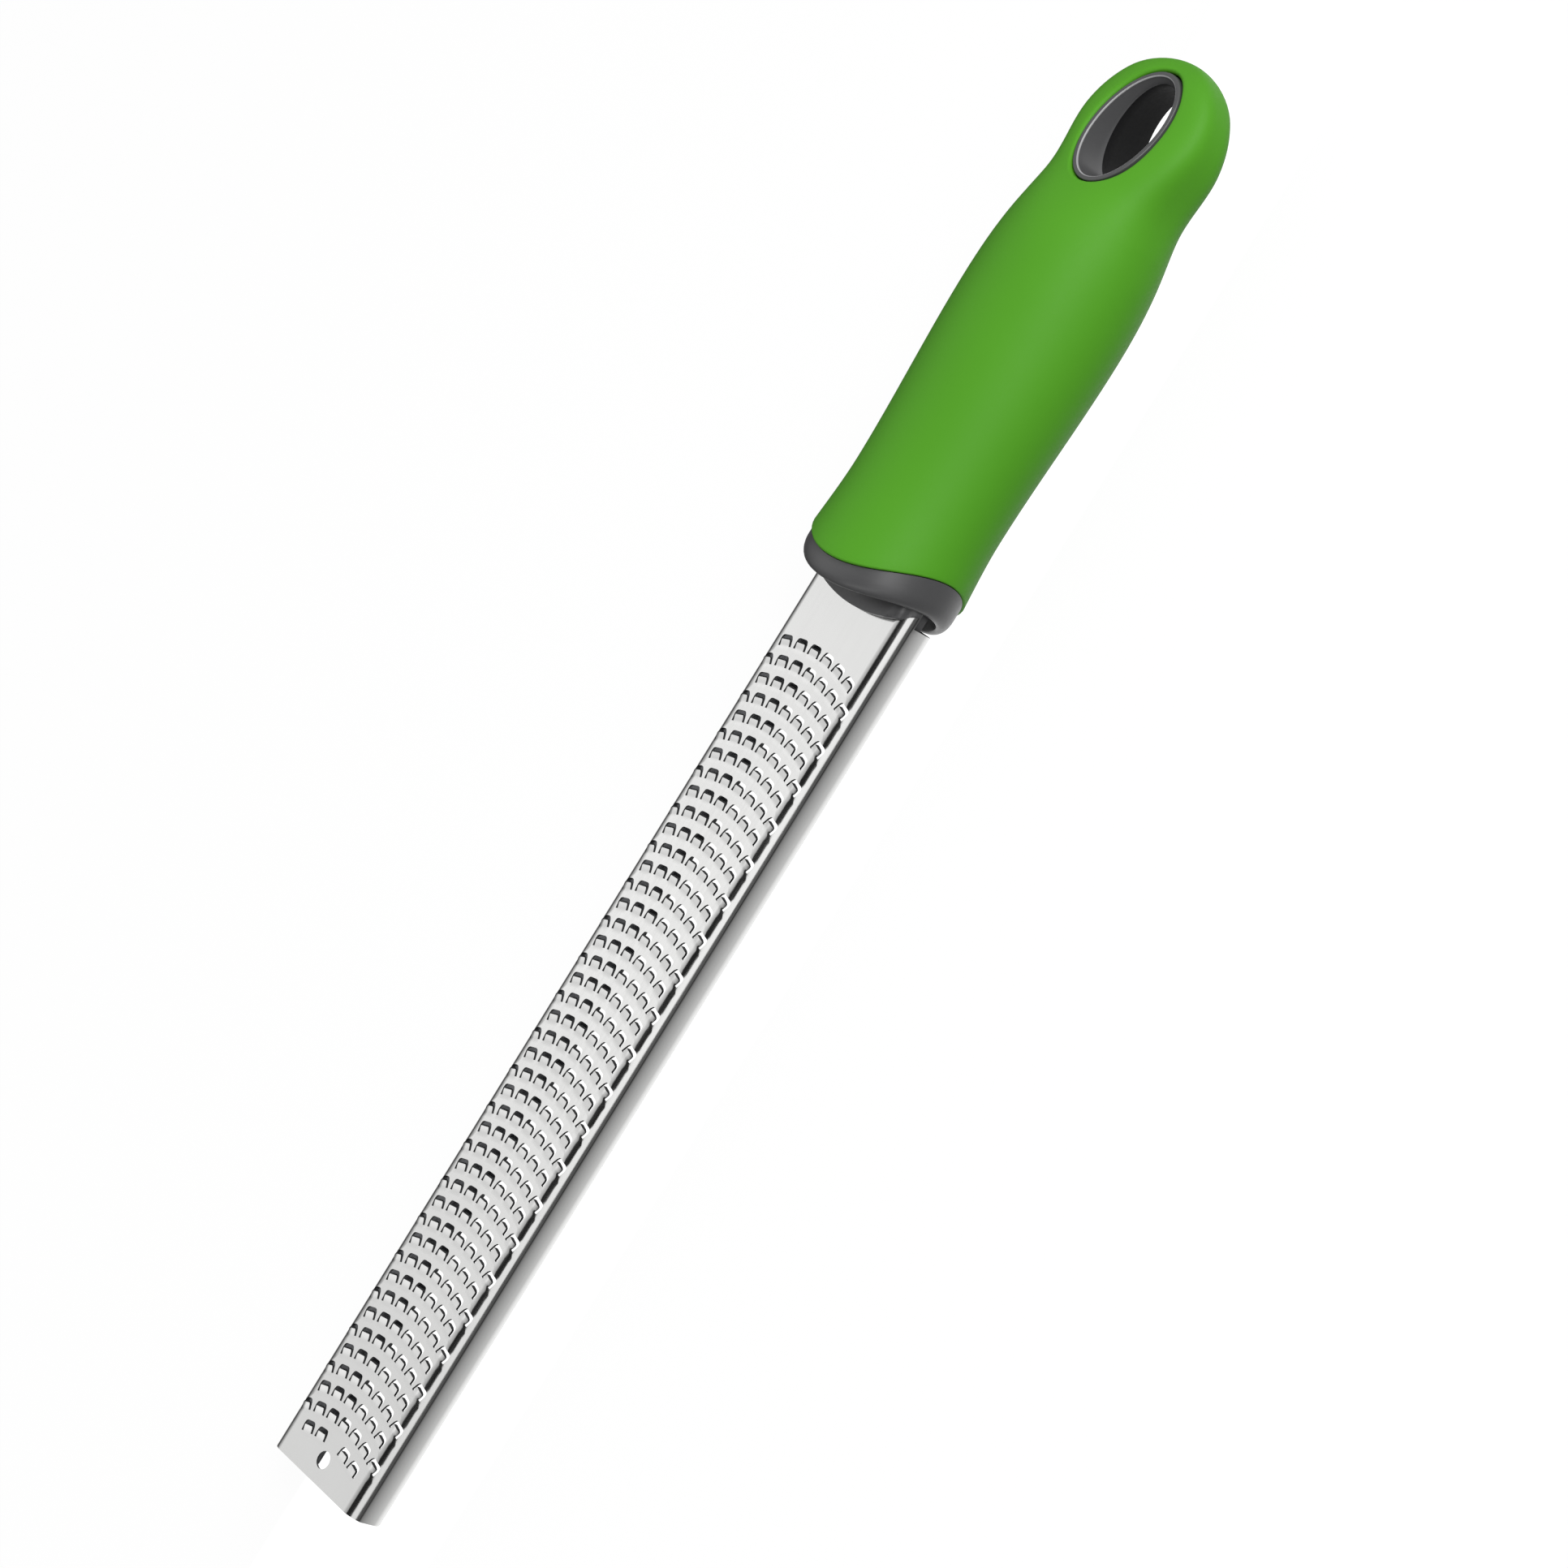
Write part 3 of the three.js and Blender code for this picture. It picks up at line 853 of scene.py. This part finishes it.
@dataclass
class HangEyeLiner:
    """The hard liner of the eye: a ring with two slanted mouths and a bore that narrows in the middle.

    The bore's limit and half the width of the painted highlight line on it are shares of the clear opening.
    """

    form: HandleForm
    wall: float = 1.1
    recess: float = 0.4
    waist: float = 0.9
    waist_height: float = 3.4
    under_recess: float = 0.6
    edge: float = 0.35
    edge_steps: int = 4
    bore_shares: Shares = (0.25, 0.5, 0.75)
    bore_limit: float = 1.01
    line_half: float = 0.012
    sharp: float = math.radians(40)

    def mouth(self, x: float, recess: float) -> float:
        """Height of a mouth at a place along the handle, sunk by its recess."""
        return self.form.eye_ring[2] - recess - self.form.taper * (x - self.form.eye_ring[0])

    def ring(self, grow: float, level: float, drop: float, count: int) -> Vector:
        """A point of one of the liner's rings.

        Args:
            grow: The ring's growth in plan.
            level: Its level, from minus one at the under mouth to one at the upper.
            drop: How far it lies below the mouth.
            count: The point's number.

        Returns:
            The point.
        """
        point = self.form.eye_point(FULL_TURN * count / RING_SEGMENTS, grow)
        mouth = self.mouth(point.x, self.recess if level > 0 else self.under_recess) - drop
        point.z = self.waist_height + (math.copysign(mouth, level) - self.waist_height) * abs(level)
        return point

    def build(self) -> Object:
        """Builds the liner.

        Returns:
            The piece.
        """
        form = self.form
        turns = quarter_turns(self.edge_steps)
        outer = [(self.wall - self.edge * (1 - math.cos(t)), self.edge * (1 - math.sin(t))) for t in turns]
        inner = [(self.edge * (1 - math.sin(t)), self.edge * (1 - math.cos(t))) for t in turns]
        upper = [(grow, 1.0, drop) for grow, drop in outer + inner]
        upper += [(-self.waist * t, 1 - t, self.edge) for t in self.bore_shares]
        under = [(grow, -level, drop) for grow, level, drop in reversed(upper)]
        profile = [(self.wall, 0.0, 0.0), *upper, (-self.waist, 0.0, 0.0), *under]
        bm = bmesh.new()
        tube = RingTube(bm, RING_SEGMENTS, partial(self.ring, *profile[0]))
        for step in profile[1:] + profile[:1]:
            tube.grow(partial(self.ring, *step))
        finish_shell(bm)
        for face in bm.faces:
            middle = face.calc_center_median()
            reach = Vector(((middle.x - form.eye_x) / form.eye_half[0], middle.y / form.eye_half[1])).length
            on_line = abs(reach - self.bore_limit) < self.line_half
            # The bore below the waist takes the near-black finish: painted shade.
            if middle.z < self.waist_height and reach < self.bore_limit:
                face.material_index = LINER_FINISHES.index(PAINTED_SHADE_PLASTIC)
            # The thin line at the upper mouth's inner edge takes the pale finish: a painted highlight.
            elif on_line and middle.z > self.mouth(middle.x, self.recess) - self.edge:
                face.material_index = LINER_FINISHES.index(PAINTED_HIGHLIGHT_PLASTIC)
        piece = to_object("eye_liner_ring", bm, LINER_FINISHES, self.sharp)
        return attach(piece, "hang_eye_liner", Slot.LINER)


@dataclass
class GratingBlade:
    """The etched strip: drawn flat with its slots and tongues, then folded into a channel with hems.

    Each arc of top_bend gives its length and its turn in degrees.
    """

    reach: float = 204.0
    seat: float = 9.0
    half_flat: float = 12.5
    rise: float = 2.6
    depth: float = 9.6
    sheet: float = 0.5
    top_bend: Pairs = ((0.4, 21.0), (1.35, 17.0), (1.0, 17.0), (1.0, 13.0), (0.3, 22.0))
    hem_bend: float = 3.4
    hem_flat: float = 1.55
    wall_end: float = 0.7
    tip_setback: float = 0.5
    tip_fade: float = 9.0
    tip_hole: float = 3.7
    tip_hole_inset: float = 4.7
    tip_hole_turn: float = math.radians(225)
    rows: int = 43
    row_teeth: tuple[int, int] = (6, 7)
    last_teeth: int = 5
    row_pitch: float = 4.333
    column_pitch: float = 4.2
    row_radius: float = 37.0
    plain_strip: float = 13.4
    half_field: float = 14.7
    slot_length: float = 2.4
    slot_root: float = 3.5
    slot_edge: float = 3.2
    slot_corner: float = 0.85
    tongue_gap: float = 0.58
    tongue_reach: float = 1.62
    tongue_lift: float = 0.25
    tongue_corner: float = 0.6
    tongue_curl: float = 1.3
    tongue_rows: Shares = (0.35, 0.65, 0.85, 1.0)
    tongue_points: int = 7
    side_shares: Shares = (1 / 3, 2 / 3, 1.0)
    arc_shares: Shares = (0.5, 0.75, 1.0)
    edge_shares: Shares = (0.5, 0.0, -0.5)
    across: int = 8
    along: int = 4
    plain_steps: int = 10
    bend_steps: int = 4
    hem_steps: int = 6
    weld: float = 0.02
    crease: float = math.radians(28)

    @property
    def bend_length(self) -> float:
        """Length of the top bend along its arc."""
        return sum(length for length, _ in self.top_bend)

    @property
    def wall(self) -> float:
        """Height of a side wall between its bends."""
        return self.depth - (self.rise - self.on_bend(self.bend_length)[1]) - self.hem_bend

    @property
    def field_start(self) -> float:
        """Place along the blade where the first row of teeth starts."""
        return self.row_middle(0) + self.row_pitch / 2

    def on_bend(self, past: float) -> Triple:
        """A place on the top bend, which is tight at its two ends and slacker between them.

        Args:
            past: How far along the bend the place lies.

        Returns:
            Its place across the blade, its height and how far the sheet has turned there.
        """
        y, z, turn = self.half_flat, self.rise, 0.0
        for length, degrees in self.top_bend:
            sweep = math.radians(degrees) * max(0.0, min(past, length)) / length
            radius = length / math.radians(degrees)
            y += radius * (math.sin(turn + sweep) - math.sin(turn))
            z -= radius * (math.cos(turn) - math.cos(turn + sweep))
            turn += sweep
            past -= length
        return y, z, turn

    def row_middle(self, row: int) -> float:
        """Place along the blade of a row's middle."""
        return -self.plain_strip - row * self.row_pitch

    def row_bow(self, v: float) -> float:
        """How far a row lies back towards the tip at a place across the blade."""
        return self.row_radius - math.sqrt(self.row_radius ** 2 - min(abs(v), self.half_field) ** 2)

    def columns(self, row: int) -> list[float]:
        """Places across the blade of the teeth in a row. The last row leaves its middle to the hole.

        Args:
            row: The row's number from the handle.

        Returns:
            Multiples of the column pitch.
        """
        last = row == self.rows - 1
        count = self.last_teeth if last else self.row_teeth[row % 2]
        places = [i - (count - 1) / 2 for i in range(count)]
        return [place for place in places if place] if last else places

    def spread(self, count: int) -> float:
        """Where a numbered point of a tongue's row lies, from minus one to one."""
        return 2 * count / (self.tongue_points - 1) - 1

    def slot_loop(self) -> list[Vector]:
        """Outline of a slot from its root's left corner, in step with the brick round it.

        Returns:
            Its points, centred on the slot.
        """
        half = self.slot_length / 2
        root, edge, corner = self.slot_root / 2, self.slot_edge / 2, self.slot_corner
        inner = root - self.tongue_gap
        stops = (-root, *(inner * self.spread(i) for i in range(self.tongue_points)), root)
        foot = [Vector((-half, v, 0)) for v in stops]
        middle = Vector((half - corner, edge - corner, 0))
        right = [foot[-1].lerp(middle + Vector((0, corner, 0)), share) for share in self.side_shares]
        for turn in (QUARTER * share for share in self.arc_shares):
            right.append(middle + corner * Vector((math.sin(turn), math.cos(turn), 0)))
        flat = [Vector((half, middle.y * share, 0)) for share in self.edge_shares]
        left = [Vector((p.x, -p.y, 0)) for p in reversed(right)]
        return foot + right + flat + left

    def brick_loop(self) -> list[Vector]:
        """Outline of a tooth's brick of the strip, from its near left corner.

        Returns:
            Its points, centred on the brick.
        """
        half_u, half_v = self.row_pitch / 2, self.column_pitch / 2
        near = [Vector((-half_u, v, 0)) for v in even_steps(-half_v, half_v, self.across)[:-1]]
        right = [Vector((u, half_v, 0)) for u in even_steps(-half_u, half_u, self.along)[:-1]]
        return near + right + [-p for p in near] + [-p for p in right]

    @staticmethod
    def ringed(bm: BMesh, outer: list[Vector], inner: list[Vector]) -> list[BMVert]:
        """Draws the sheet between two loops.

        Args:
            bm: The mesh to draw in.
            outer: The outer loop.
            inner: The loop of the hole.

        Returns:
            The vertices of the hole.
        """
        loops = []
        for points in (outer, inner):
            verts = [bm.verts.new(point) for point in points]
            loops.append((verts, [bm.edges.new(pair) for pair in zip(verts, verts[1:] + verts[:1])]))
        bmesh.ops.bridge_loops(bm, edges=loops[0][1] + loops[1][1])
        return loops[1][0]

    def tongue_half(self, share: float) -> float:
        """Half width of a tongue, with rounded free corners.

        Args:
            share: A share of the tongue's reach.

        Returns:
            The half width there.
        """
        full = self.slot_root / 2 - self.tongue_gap
        past = max(0.0, self.tongue_corner - (1 - share) * self.tongue_reach)
        return full - self.tongue_corner + math.sqrt(self.tongue_corner ** 2 - past ** 2)

    def tooth_brick(self) -> Mesh:
        """Draws one flat brick of the strip with a slot and its raised tongue.

        Returns:
            The brick, centred on its slot.
        """
        bm = bmesh.new()
        number = bm.verts.layers.int.new("number")
        root = self.ringed(bm, self.brick_loop(), self.slot_loop())[1:1 + self.tongue_points]
        edges = [bm.edges.get(pair) for pair in zip(root, root[1:])]
        for count, vert in enumerate(root):
            vert[number] = count
        for share in self.tongue_rows:
            fresh, edges = grow_edges(bm, edges)
            for vert in fresh:
                vert.co = (
                    -self.slot_length / 2 + self.tongue_reach * share,
                    self.tongue_half(share) * self.spread(vert[number]),
                    self.tongue_lift * share ** self.tongue_curl)
        # The free end of each tongue takes the dark cut finish, partly painted shade for the gap under it.
        for edge in edges:
            edge.link_faces[0].material_index = BLADE_FINISHES.index(STEEL_CUT)
        return to_mesh("tooth_brick", bm)

    def lay_tooth(self, bm: BMesh, brick: Mesh, row: int, column: float) -> None:
        """Lays one tooth's brick in its row, with the slot turned square to the row.

        Args:
            bm: The flat strip.
            brick: The brick to lay.
            row: Its row.
            column: Its place in the row.
        """
        known = len(bm.verts)
        bm.from_mesh(brick)
        bm.verts.ensure_lookup_table()
        u, v = self.row_middle(row), column * self.column_pitch
        turn = Matrix.Rotation(math.asin(v / self.row_radius), 3, "Z")
        inner_u, inner_v = self.row_pitch / 2 - TOUCH, self.column_pitch / 2 - TOUCH
        for vert in bm.verts[known:]:
            if abs(vert.co.x) <= inner_u and abs(vert.co.y) <= inner_v:
                vert.co = turn @ vert.co
                vert.co.x += self.row_bow(v + vert.co.y) - self.row_bow(v)
            vert.co += Vector((u, v, 0))

    @staticmethod
    def lay_plain(
        bm: BMesh, span: Pair, width: Pair, steps: tuple[int, int],
    ) -> None:
        """Lays a plain patch of the strip.

        Args:
            bm: The flat strip.
            span: Where it starts and ends along the blade.
            width: Its two edges across the blade, in either order.
            steps: Steps along and across.
        """
        low, high = sorted(width)
        middle = Matrix.Translation(((span[0] + span[1]) / 2, (low + high) / 2, 0))
        size = Matrix.Diagonal(((span[1] - span[0]) / 2, (high - low) / 2, 1, 1))
        bmesh.ops.create_grid(bm, x_segments=steps[0], y_segments=steps[1], size=1.0, matrix=middle @ size)

    def lay_rows(self, bm: BMesh) -> None:
        """Lays every row of teeth, with plain patches where a row has none.

        Args:
            bm: The flat strip.
        """
        brick = self.tooth_brick()
        for row in range(self.rows):
            span = (self.row_middle(row) - self.row_pitch / 2, self.row_middle(row) + self.row_pitch / 2)
            for column in self.columns(row):
                self.lay_tooth(bm, brick, row, column)
            if row % 2 == 0 and row < self.rows - 1:
                start = self.row_teeth[0] / 2 * self.column_pitch
                for side in (-1, 1):
                    width = (side * self.half_field, side * start)
                    self.lay_plain(bm, span, width, (self.along, self.across // 2))
            if row == self.rows - 1:
                self.lay_last_row(bm, span)
        bpy.data.meshes.remove(brick)

    def lay_last_row(self, bm: BMesh, span: Pair) -> None:
        """Fills the gaps of the last row and lays the tip with its hole.

        Args:
            bm: The flat strip.
            span: Where the last row starts and ends along the blade.
        """
        pitch, half_v = self.column_pitch, self.column_pitch / 2
        start = self.last_teeth / 2 * pitch
        steps = round((self.half_field - half_v) / (pitch / self.across))
        for side in (-1, 1):
            edge = side * self.half_field
            self.lay_plain(bm, span, (edge, side * start), (self.along, self.across))
            self.lay_plain(bm, (-self.reach, span[0]), (edge, side * half_v), (self.along, steps))
        across = even_steps(-half_v, half_v, self.across)[:-1]
        stops = even_steps(-self.reach, span[0], self.along)[:-1]
        stops += even_steps(span[0], span[1], self.along)[:-1]
        outer = [Vector((-self.reach, v, 0)) for v in across]
        outer += [Vector((stop, half_v, 0)) for stop in stops]
        outer += [Vector((span[1], -v, 0)) for v in across]
        outer += [Vector((stop, -half_v, 0)) for stop in (span[1], *reversed(stops[1:]))]
        centre = Vector((-self.reach + self.tip_hole_inset, 0, 0))
        turns = [self.tip_hole_turn + FULL_TURN * i / len(outer) for i in range(len(outer))]
        hole = [centre + self.tip_hole / 2 * Vector((math.cos(t), math.sin(t), 0)) for t in turns]
        self.ringed(bm, outer, hole)

    def on_section(self, v: float, lift: float) -> Pair:
        """Where a point of the flat strip lies in the folded blade's section.

        Args:
            v: Its place across the strip.
            lift: Its height over the strip.

        Returns:
            Its place across the blade and its height.
        """
        past = abs(v) - self.half_flat
        side, head, _ = self.on_bend(self.bend_length)
        if past <= 0:
            y, z, turn = abs(v), self.rise, 0.0
        elif past <= self.bend_length:
            y, z, turn = self.on_bend(past)
        elif past <= self.bend_length + self.wall:
            y, z, turn = side, head - (past - self.bend_length), QUARTER
        else:
            hem = past - self.bend_length - self.wall
            over = min(hem / self.hem_bend, QUARTER)
            inward = max(0.0, hem - self.hem_bend * QUARTER)
            turn = QUARTER + over
            y = side - self.hem_bend * (1 - math.cos(over)) - inward
            z = self.rise - self.depth + self.hem_bend * (1 - math.sin(over))
        return math.copysign(y + lift * math.sin(turn), v), z + lift * math.cos(turn)

    def folded(self, flat: Vector) -> Vector:
        """Where a point of the flat strip lies once the strip is folded.

        Args:
            flat: Its place along and across the strip, and its height over it.

        Returns:
            Its place in the blade.
        """
        u, v, lift = flat
        y, z = self.on_section(v, lift)
        head = self.on_bend(self.bend_length)[1]
        last = self.row_middle(self.rows - 1) - self.row_pitch / 2
        fade = min(
            1.0, (self.seat - u) / (self.seat - self.field_start), (u + self.reach) / (last + self.reach))
        x = u - self.row_bow(v) * max(0.0, fade)
        low = max(0.0, head - z) / (self.depth - self.rise + head)
        x += self.tip_setback * low * max(0.0, 1 - (x + self.reach) / self.tip_fade)
        return Vector((x, y, z))

    def flat_strip(self) -> BMesh:
        """Draws the whole strip flat: teeth, plain ends, then the sides grown outwards.

        Returns:
            The strip.
        """
        bm = bmesh.new()
        self.lay_rows(bm)
        edge = self.half_field
        steps = (self.plain_steps, round(2 * edge / (self.column_pitch / self.across)))
        self.lay_plain(bm, (self.field_start, self.seat), (-edge, edge), steps)
        bmesh.ops.remove_doubles(bm, verts=bm.verts, dist=self.weld)
        bend_end = self.half_flat + self.bend_length
        wall_end = bend_end + self.wall
        bend = even_steps(edge, bend_end, self.bend_steps)[1:]
        hem = [wall_end + self.hem_bend * turn for turn in quarter_turns(self.hem_steps)[1:]]
        stops = [*bend, (bend_end + wall_end) / 2, wall_end, *hem, hem[-1] + self.hem_flat]
        for side in (-1, 1):
            rim = {vert for vert in bm.verts if abs(vert.co.y - side * edge) < self.weld}
            edges = [item for item in bm.edges if item.is_boundary and set(item.verts) <= rim]
            for stop in stops:
                fresh, edges = grow_edges(bm, edges)
                for vert in fresh:
                    vert.co.y = side * stop
        return bm

    def end_walls(self, bm: BMesh) -> None:
        """Cuts the side walls off at the collar's mouth, so that only the top sheet and its bends run on.

        Args:
            bm: The folded strip.
        """
        head = self.on_bend(self.bend_length)[1] + self.weld
        walls = [face for face in bm.faces if face.calc_center_median().z < head]
        corners = {vert for face in walls for vert in face.verts}
        sides = {edge for face in walls for edge in face.edges}
        bmesh.ops.bisect_plane(
            bm, geom=[*walls, *sides, *corners], dist=TOUCH,
            plane_co=(self.wall_end, 0, 0), plane_no=(1, 0, 0))
        past = [face for face in bm.faces
                if face.calc_center_median().z < head and face.calc_center_median().x > self.wall_end]
        bmesh.ops.delete(bm, geom=past, context="FACES")

    def build(self) -> Object:
        """Builds the blade with its thickness.

        Returns:
            The piece.
        """
        bm = self.flat_strip()
        bmesh.ops.recalc_face_normals(bm, faces=bm.faces)
        bm.normal_update()
        if sum(face.normal.z for face in bm.faces) < 0:
            bmesh.ops.reverse_faces(bm, faces=bm.faces)
        for vert in bm.verts:
            vert.co = self.folded(vert.co)
        self.end_walls(bm)
        piece = to_object("toothed_blade", bm, BLADE_FINISHES, math.pi)
        thick = piece.modifiers.new("sheet", "SOLIDIFY")
        thick.thickness = self.sheet / MM_PER_METRE
        thick.offset = -1.0
        # The inner face takes the darker inside finish: painted shade for the channel's inside.
        thick.material_offset = BLADE_FINISHES.index(STEEL_INSIDE)
        # The cut rims take the dark edge finish, partly painted shade for the gaps.
        thick.material_offset_rim = BLADE_FINISHES.index(STEEL_CUT)
        solid = bpy.data.meshes.new_from_object(piece.evaluated_get(bpy.context.evaluated_depsgraph_get()))
        piece.modifiers.clear()
        piece.data = solid
        solid.name = piece.name
        solid.shade_smooth()
        solid.set_sharp_from_angle(angle=self.crease)
        return attach(piece, "grating_blade", Slot.BLADE)


# Bands of light: places from nought to one over a span, and the level of light at each.

# What the floor shows to reflections across the object: lit along its middle, dark at its sides.
FLOOR_GLOW: Pairs = (
    (0.0, 0.03), (0.26, 0.08), (0.39, 0.28), (0.4275, 0.56), (0.443, 0.92), (0.455, 1.2),
    (0.545, 1.2), (0.557, 0.92), (0.5725, 0.56), (0.61, 0.28), (0.74, 0.08), (1.0, 0.03))
# The room by its lean from overhead, which is at the middle: a lit front, a narrow dark gap, a softer back.
ROOM_ACROSS: Pairs = (
    (0.0, 0.2), (0.25, 0.1), (0.308, 0.1), (0.32, 1.0), (0.405, 1.0), (0.415, 0.015), (0.497, 0.015),
    (0.509, 0.45), (0.58, 0.7), (0.612, 0.95), (0.64, 0.95), (0.68, 0.45), (0.74, 0.22), (1.0, 0.2))
# The room from the tip's end to the handle's end: how strong the bands above are.
ROOM_ALONG: Pairs = (
    (0.0, 1.0), (0.27, 1.0), (0.38, 0.71), (0.41, 0.75), (0.44, 1.0), (0.475, 0.86),
    (0.52, 0.84), (0.58, 0.45), (1.0, 0.45))
# The share of those bands over the room's middle, and the even light of its two ends.
ROOM_MIDDLE: Pairs = ((0.0, 0.0), (0.2, 0.0), (0.26, 1.0), (0.58, 1.0), (0.66, 0.0), (1.0, 0.0))
ROOM_ENDS: Pairs = ((0.0, 0.22), (0.3, 0.22), (0.6, 0.4), (1.0, 0.4))


@dataclass(frozen=True)
class Lamp:
    """A soft rectangular lamp: where it hangs, its length and width, and its power in watts."""

    name: str
    place: Triple
    size: Pair
    power: float

    def hang(self, target: Triple) -> None:
        """Hangs the lamp.

        Args:
            target: What it faces.
        """
        data = bpy.data.lights.new(self.name, "AREA")
        data.shape = "RECTANGLE"
        data.size, data.size_y = self.size
        data.energy = self.power
        lamp = bpy.data.objects.new(self.name, data)
        lamp.location = self.place
        lamp.rotation_mode = "QUATERNION"
        lamp.rotation_quaternion = (Vector(target) - Vector(self.place)).to_track_quat("-Z", "Y")
        bpy.context.scene.collection.objects.link(lamp)


@dataclass
class Studio:
    """The floor, the world, the lamps and the camera."""

    lamps: tuple[Lamp, ...] = (
        Lamp("key_softbox", (0.35, -0.76, 0.9), (0.36, 0.36), 5.6),
        Lamp("end_softbox", (1.0, -0.62, 0.6), (0.5, 0.5), 7.0),
        Lamp("tip_softbox", (-0.9, -0.3, 0.7), (1.0, 0.15), 1.3),
    )
    lamp_target: Triple = (0.0, 0.0, 0.016)
    eye: Triple = (0.0954, -0.8351, 0.8345)
    target: Triple = (0.0033, -0.0073, 0.0164)
    roll: float = math.radians(31.78)
    lens: float = 138.5
    sensor: float = 36.0
    floor_size: float = 6.0
    floor_tone: str = "#8c8c8c"
    white_share: float = 0.94
    glow_span: float = 0.2
    world_strength: float = 1.37

    def floor_material(self) -> Material:
        """Builds the floor's material: pale and shadowed, white to the camera, and banded to reflections.

        Returns:
            The material.
        """
        material = bpy.data.materials.new("pale_floor")
        tree = empty_tree(material)
        path = add_node(tree, "ShaderNodeLightPath")
        camera = path.outputs["Is Camera Ray"]
        seen = reckon(tree, "MAXIMUM", camera, path.outputs["Is Glossy Ray"])
        seen = reckon(tree, "MAXIMUM", seen, path.outputs["Is Transmission Ray"])
        spot = add_node(tree, "ShaderNodeTexCoord")
        parts = add_node(tree, "ShaderNodeSeparateXYZ", {"Vector": spot.outputs["Object"]})
        glow = self.bands(tree, parts.outputs["Y"], self.glow_span, FLOOR_GLOW)
        level = reckon(tree, "MAXIMUM", glow, camera)
        share = reckon(tree, "MULTIPLY_ADD", camera, self.white_share - 1.0, seen)
        tone = add_node(tree, "ShaderNodeMix", {
            0: seen, 6: linear(self.floor_tone), 7: WHITE,
        }, data_type="RGBA")
        lit = add_node(tree, "ShaderNodeBsdfDiffuse", {"Color": tone.outputs[2]})
        white = add_node(tree, "ShaderNodeEmission", {"Color": WHITE, "Strength": level})
        mixed = add_node(tree, "ShaderNodeMixShader", {
            0: share, 1: lit.outputs["BSDF"], 2: white.outputs["Emission"],
        })
        add_node(tree, "ShaderNodeOutputMaterial", {"Surface": mixed.outputs["Shader"]})
        return material

    def floor(self) -> None:
        """Lays the floor."""
        bm = bmesh.new()
        bmesh.ops.create_grid(bm, x_segments=1, y_segments=1, size=self.floor_size / 2)
        mesh = to_mesh("floor", bm)
        mesh.materials.append(self.floor_material())
        floor = bpy.data.objects.new("floor", mesh)
        bpy.context.scene.collection.objects.link(floor)

    @staticmethod
    def bands(tree: NodeTree, value: NodeSocket, span: float, stops: Pairs) -> NodeSocket:
        """Lays soft bands of light over a value.

        Args:
            tree: The node tree to add to.
            value: What the bands are laid over.
            span: The value runs from minus to plus this.
            stops: Places from nought to one and the level of light at each.

        Returns:
            The level of light.
        """
        place = add_node(tree, "ShaderNodeMapRange", {"Value": value, "From Min": -span, "From Max": span})
        ramp = add_node(tree, "ShaderNodeValToRGB", {0: place.outputs["Result"]})
        marks = ramp.color_ramp.elements
        while len(marks) < len(stops):
            marks.new(0.5)
        for mark, (spot, level) in zip(marks, stops):
            mark.position = spot
            mark.color = (level, level, level, 1.0)
        return ramp.outputs["Color"]

    def world(self) -> None:
        """Fills the room with soft bands of light, which reflections see, and shows white to the camera."""
        world = bpy.data.worlds.new("studio")
        bpy.context.scene.world = world
        tree = empty_tree(world)
        direction = add_node(tree, "ShaderNodeTexCoord").outputs["Generated"]
        parts = add_node(tree, "ShaderNodeSeparateXYZ", {0: direction})
        lean = reckon(tree, "ARCTAN2", parts.outputs["Y"], parts.outputs["Z"])
        across = self.bands(tree, lean, math.pi, ROOM_ACROSS)
        along = self.bands(tree, parts.outputs["X"], 1.0, ROOM_ALONG)
        middle = self.bands(tree, parts.outputs["X"], 1.0, ROOM_MIDDLE)
        ends = self.bands(tree, parts.outputs["X"], 1.0, ROOM_ENDS)
        level = add_node(tree, "ShaderNodeMix", {
            0: middle, 2: ends, 3: reckon(tree, "MULTIPLY", across, along),
        })
        strength = reckon(tree, "MULTIPLY", level.outputs[0], self.world_strength)
        room = add_node(tree, "ShaderNodeBackground", {"Color": WHITE, "Strength": strength})
        white = add_node(tree, "ShaderNodeBackground", {"Color": WHITE, "Strength": 1.0})
        path = add_node(tree, "ShaderNodeLightPath")
        mixed = add_node(tree, "ShaderNodeMixShader", {
            0: path.outputs["Is Camera Ray"], 1: room.outputs["Background"], 2: white.outputs["Background"],
        })
        add_node(tree, "ShaderNodeOutputWorld", {"Surface": mixed.outputs["Shader"]})

    def camera(self) -> None:
        """Sets the camera at the photograph's angle, rolled so that the handle runs up to the right."""
        data = bpy.data.cameras.new("camera")
        data.sensor_width = self.sensor
        data.lens = self.lens
        camera = bpy.data.objects.new("camera", data)
        eye = Vector(self.eye)
        back = (eye - Vector(self.target)).normalized()
        right = Vector((1, 0, 0)).cross(back).normalized()
        upright = Matrix((right, back.cross(right), back)).transposed()
        turned = upright @ Matrix.Rotation(self.roll, 3, "Z")
        camera.matrix_world = Matrix.Translation(eye) @ turned.to_4x4()
        bpy.context.scene.collection.objects.link(camera)
        bpy.context.scene.camera = camera

    def build(self) -> None:
        """Sets up the whole studio."""
        bpy.context.scene.view_settings.view_transform = "Standard"
        self.floor()
        self.world()
        for lamp in self.lamps:
            lamp.hang(self.lamp_target)
        self.camera()


def main() -> None:
    """Builds the pieces on the frame, then the studio round them."""
    logging.basicConfig(level=logging.INFO, format="%(name)s: %(message)s")
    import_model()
    form = HandleForm()
    blade = GratingBlade()
    for part in (blade, HandleCore(form, blade), SoftGrip(form), HangEyeLiner(form)):
        piece = part.build()
        LOG.info("%s has %d faces", piece.name, len(piece.data.polygons))
    Studio().build()


if __name__ == "__main__":
    main()
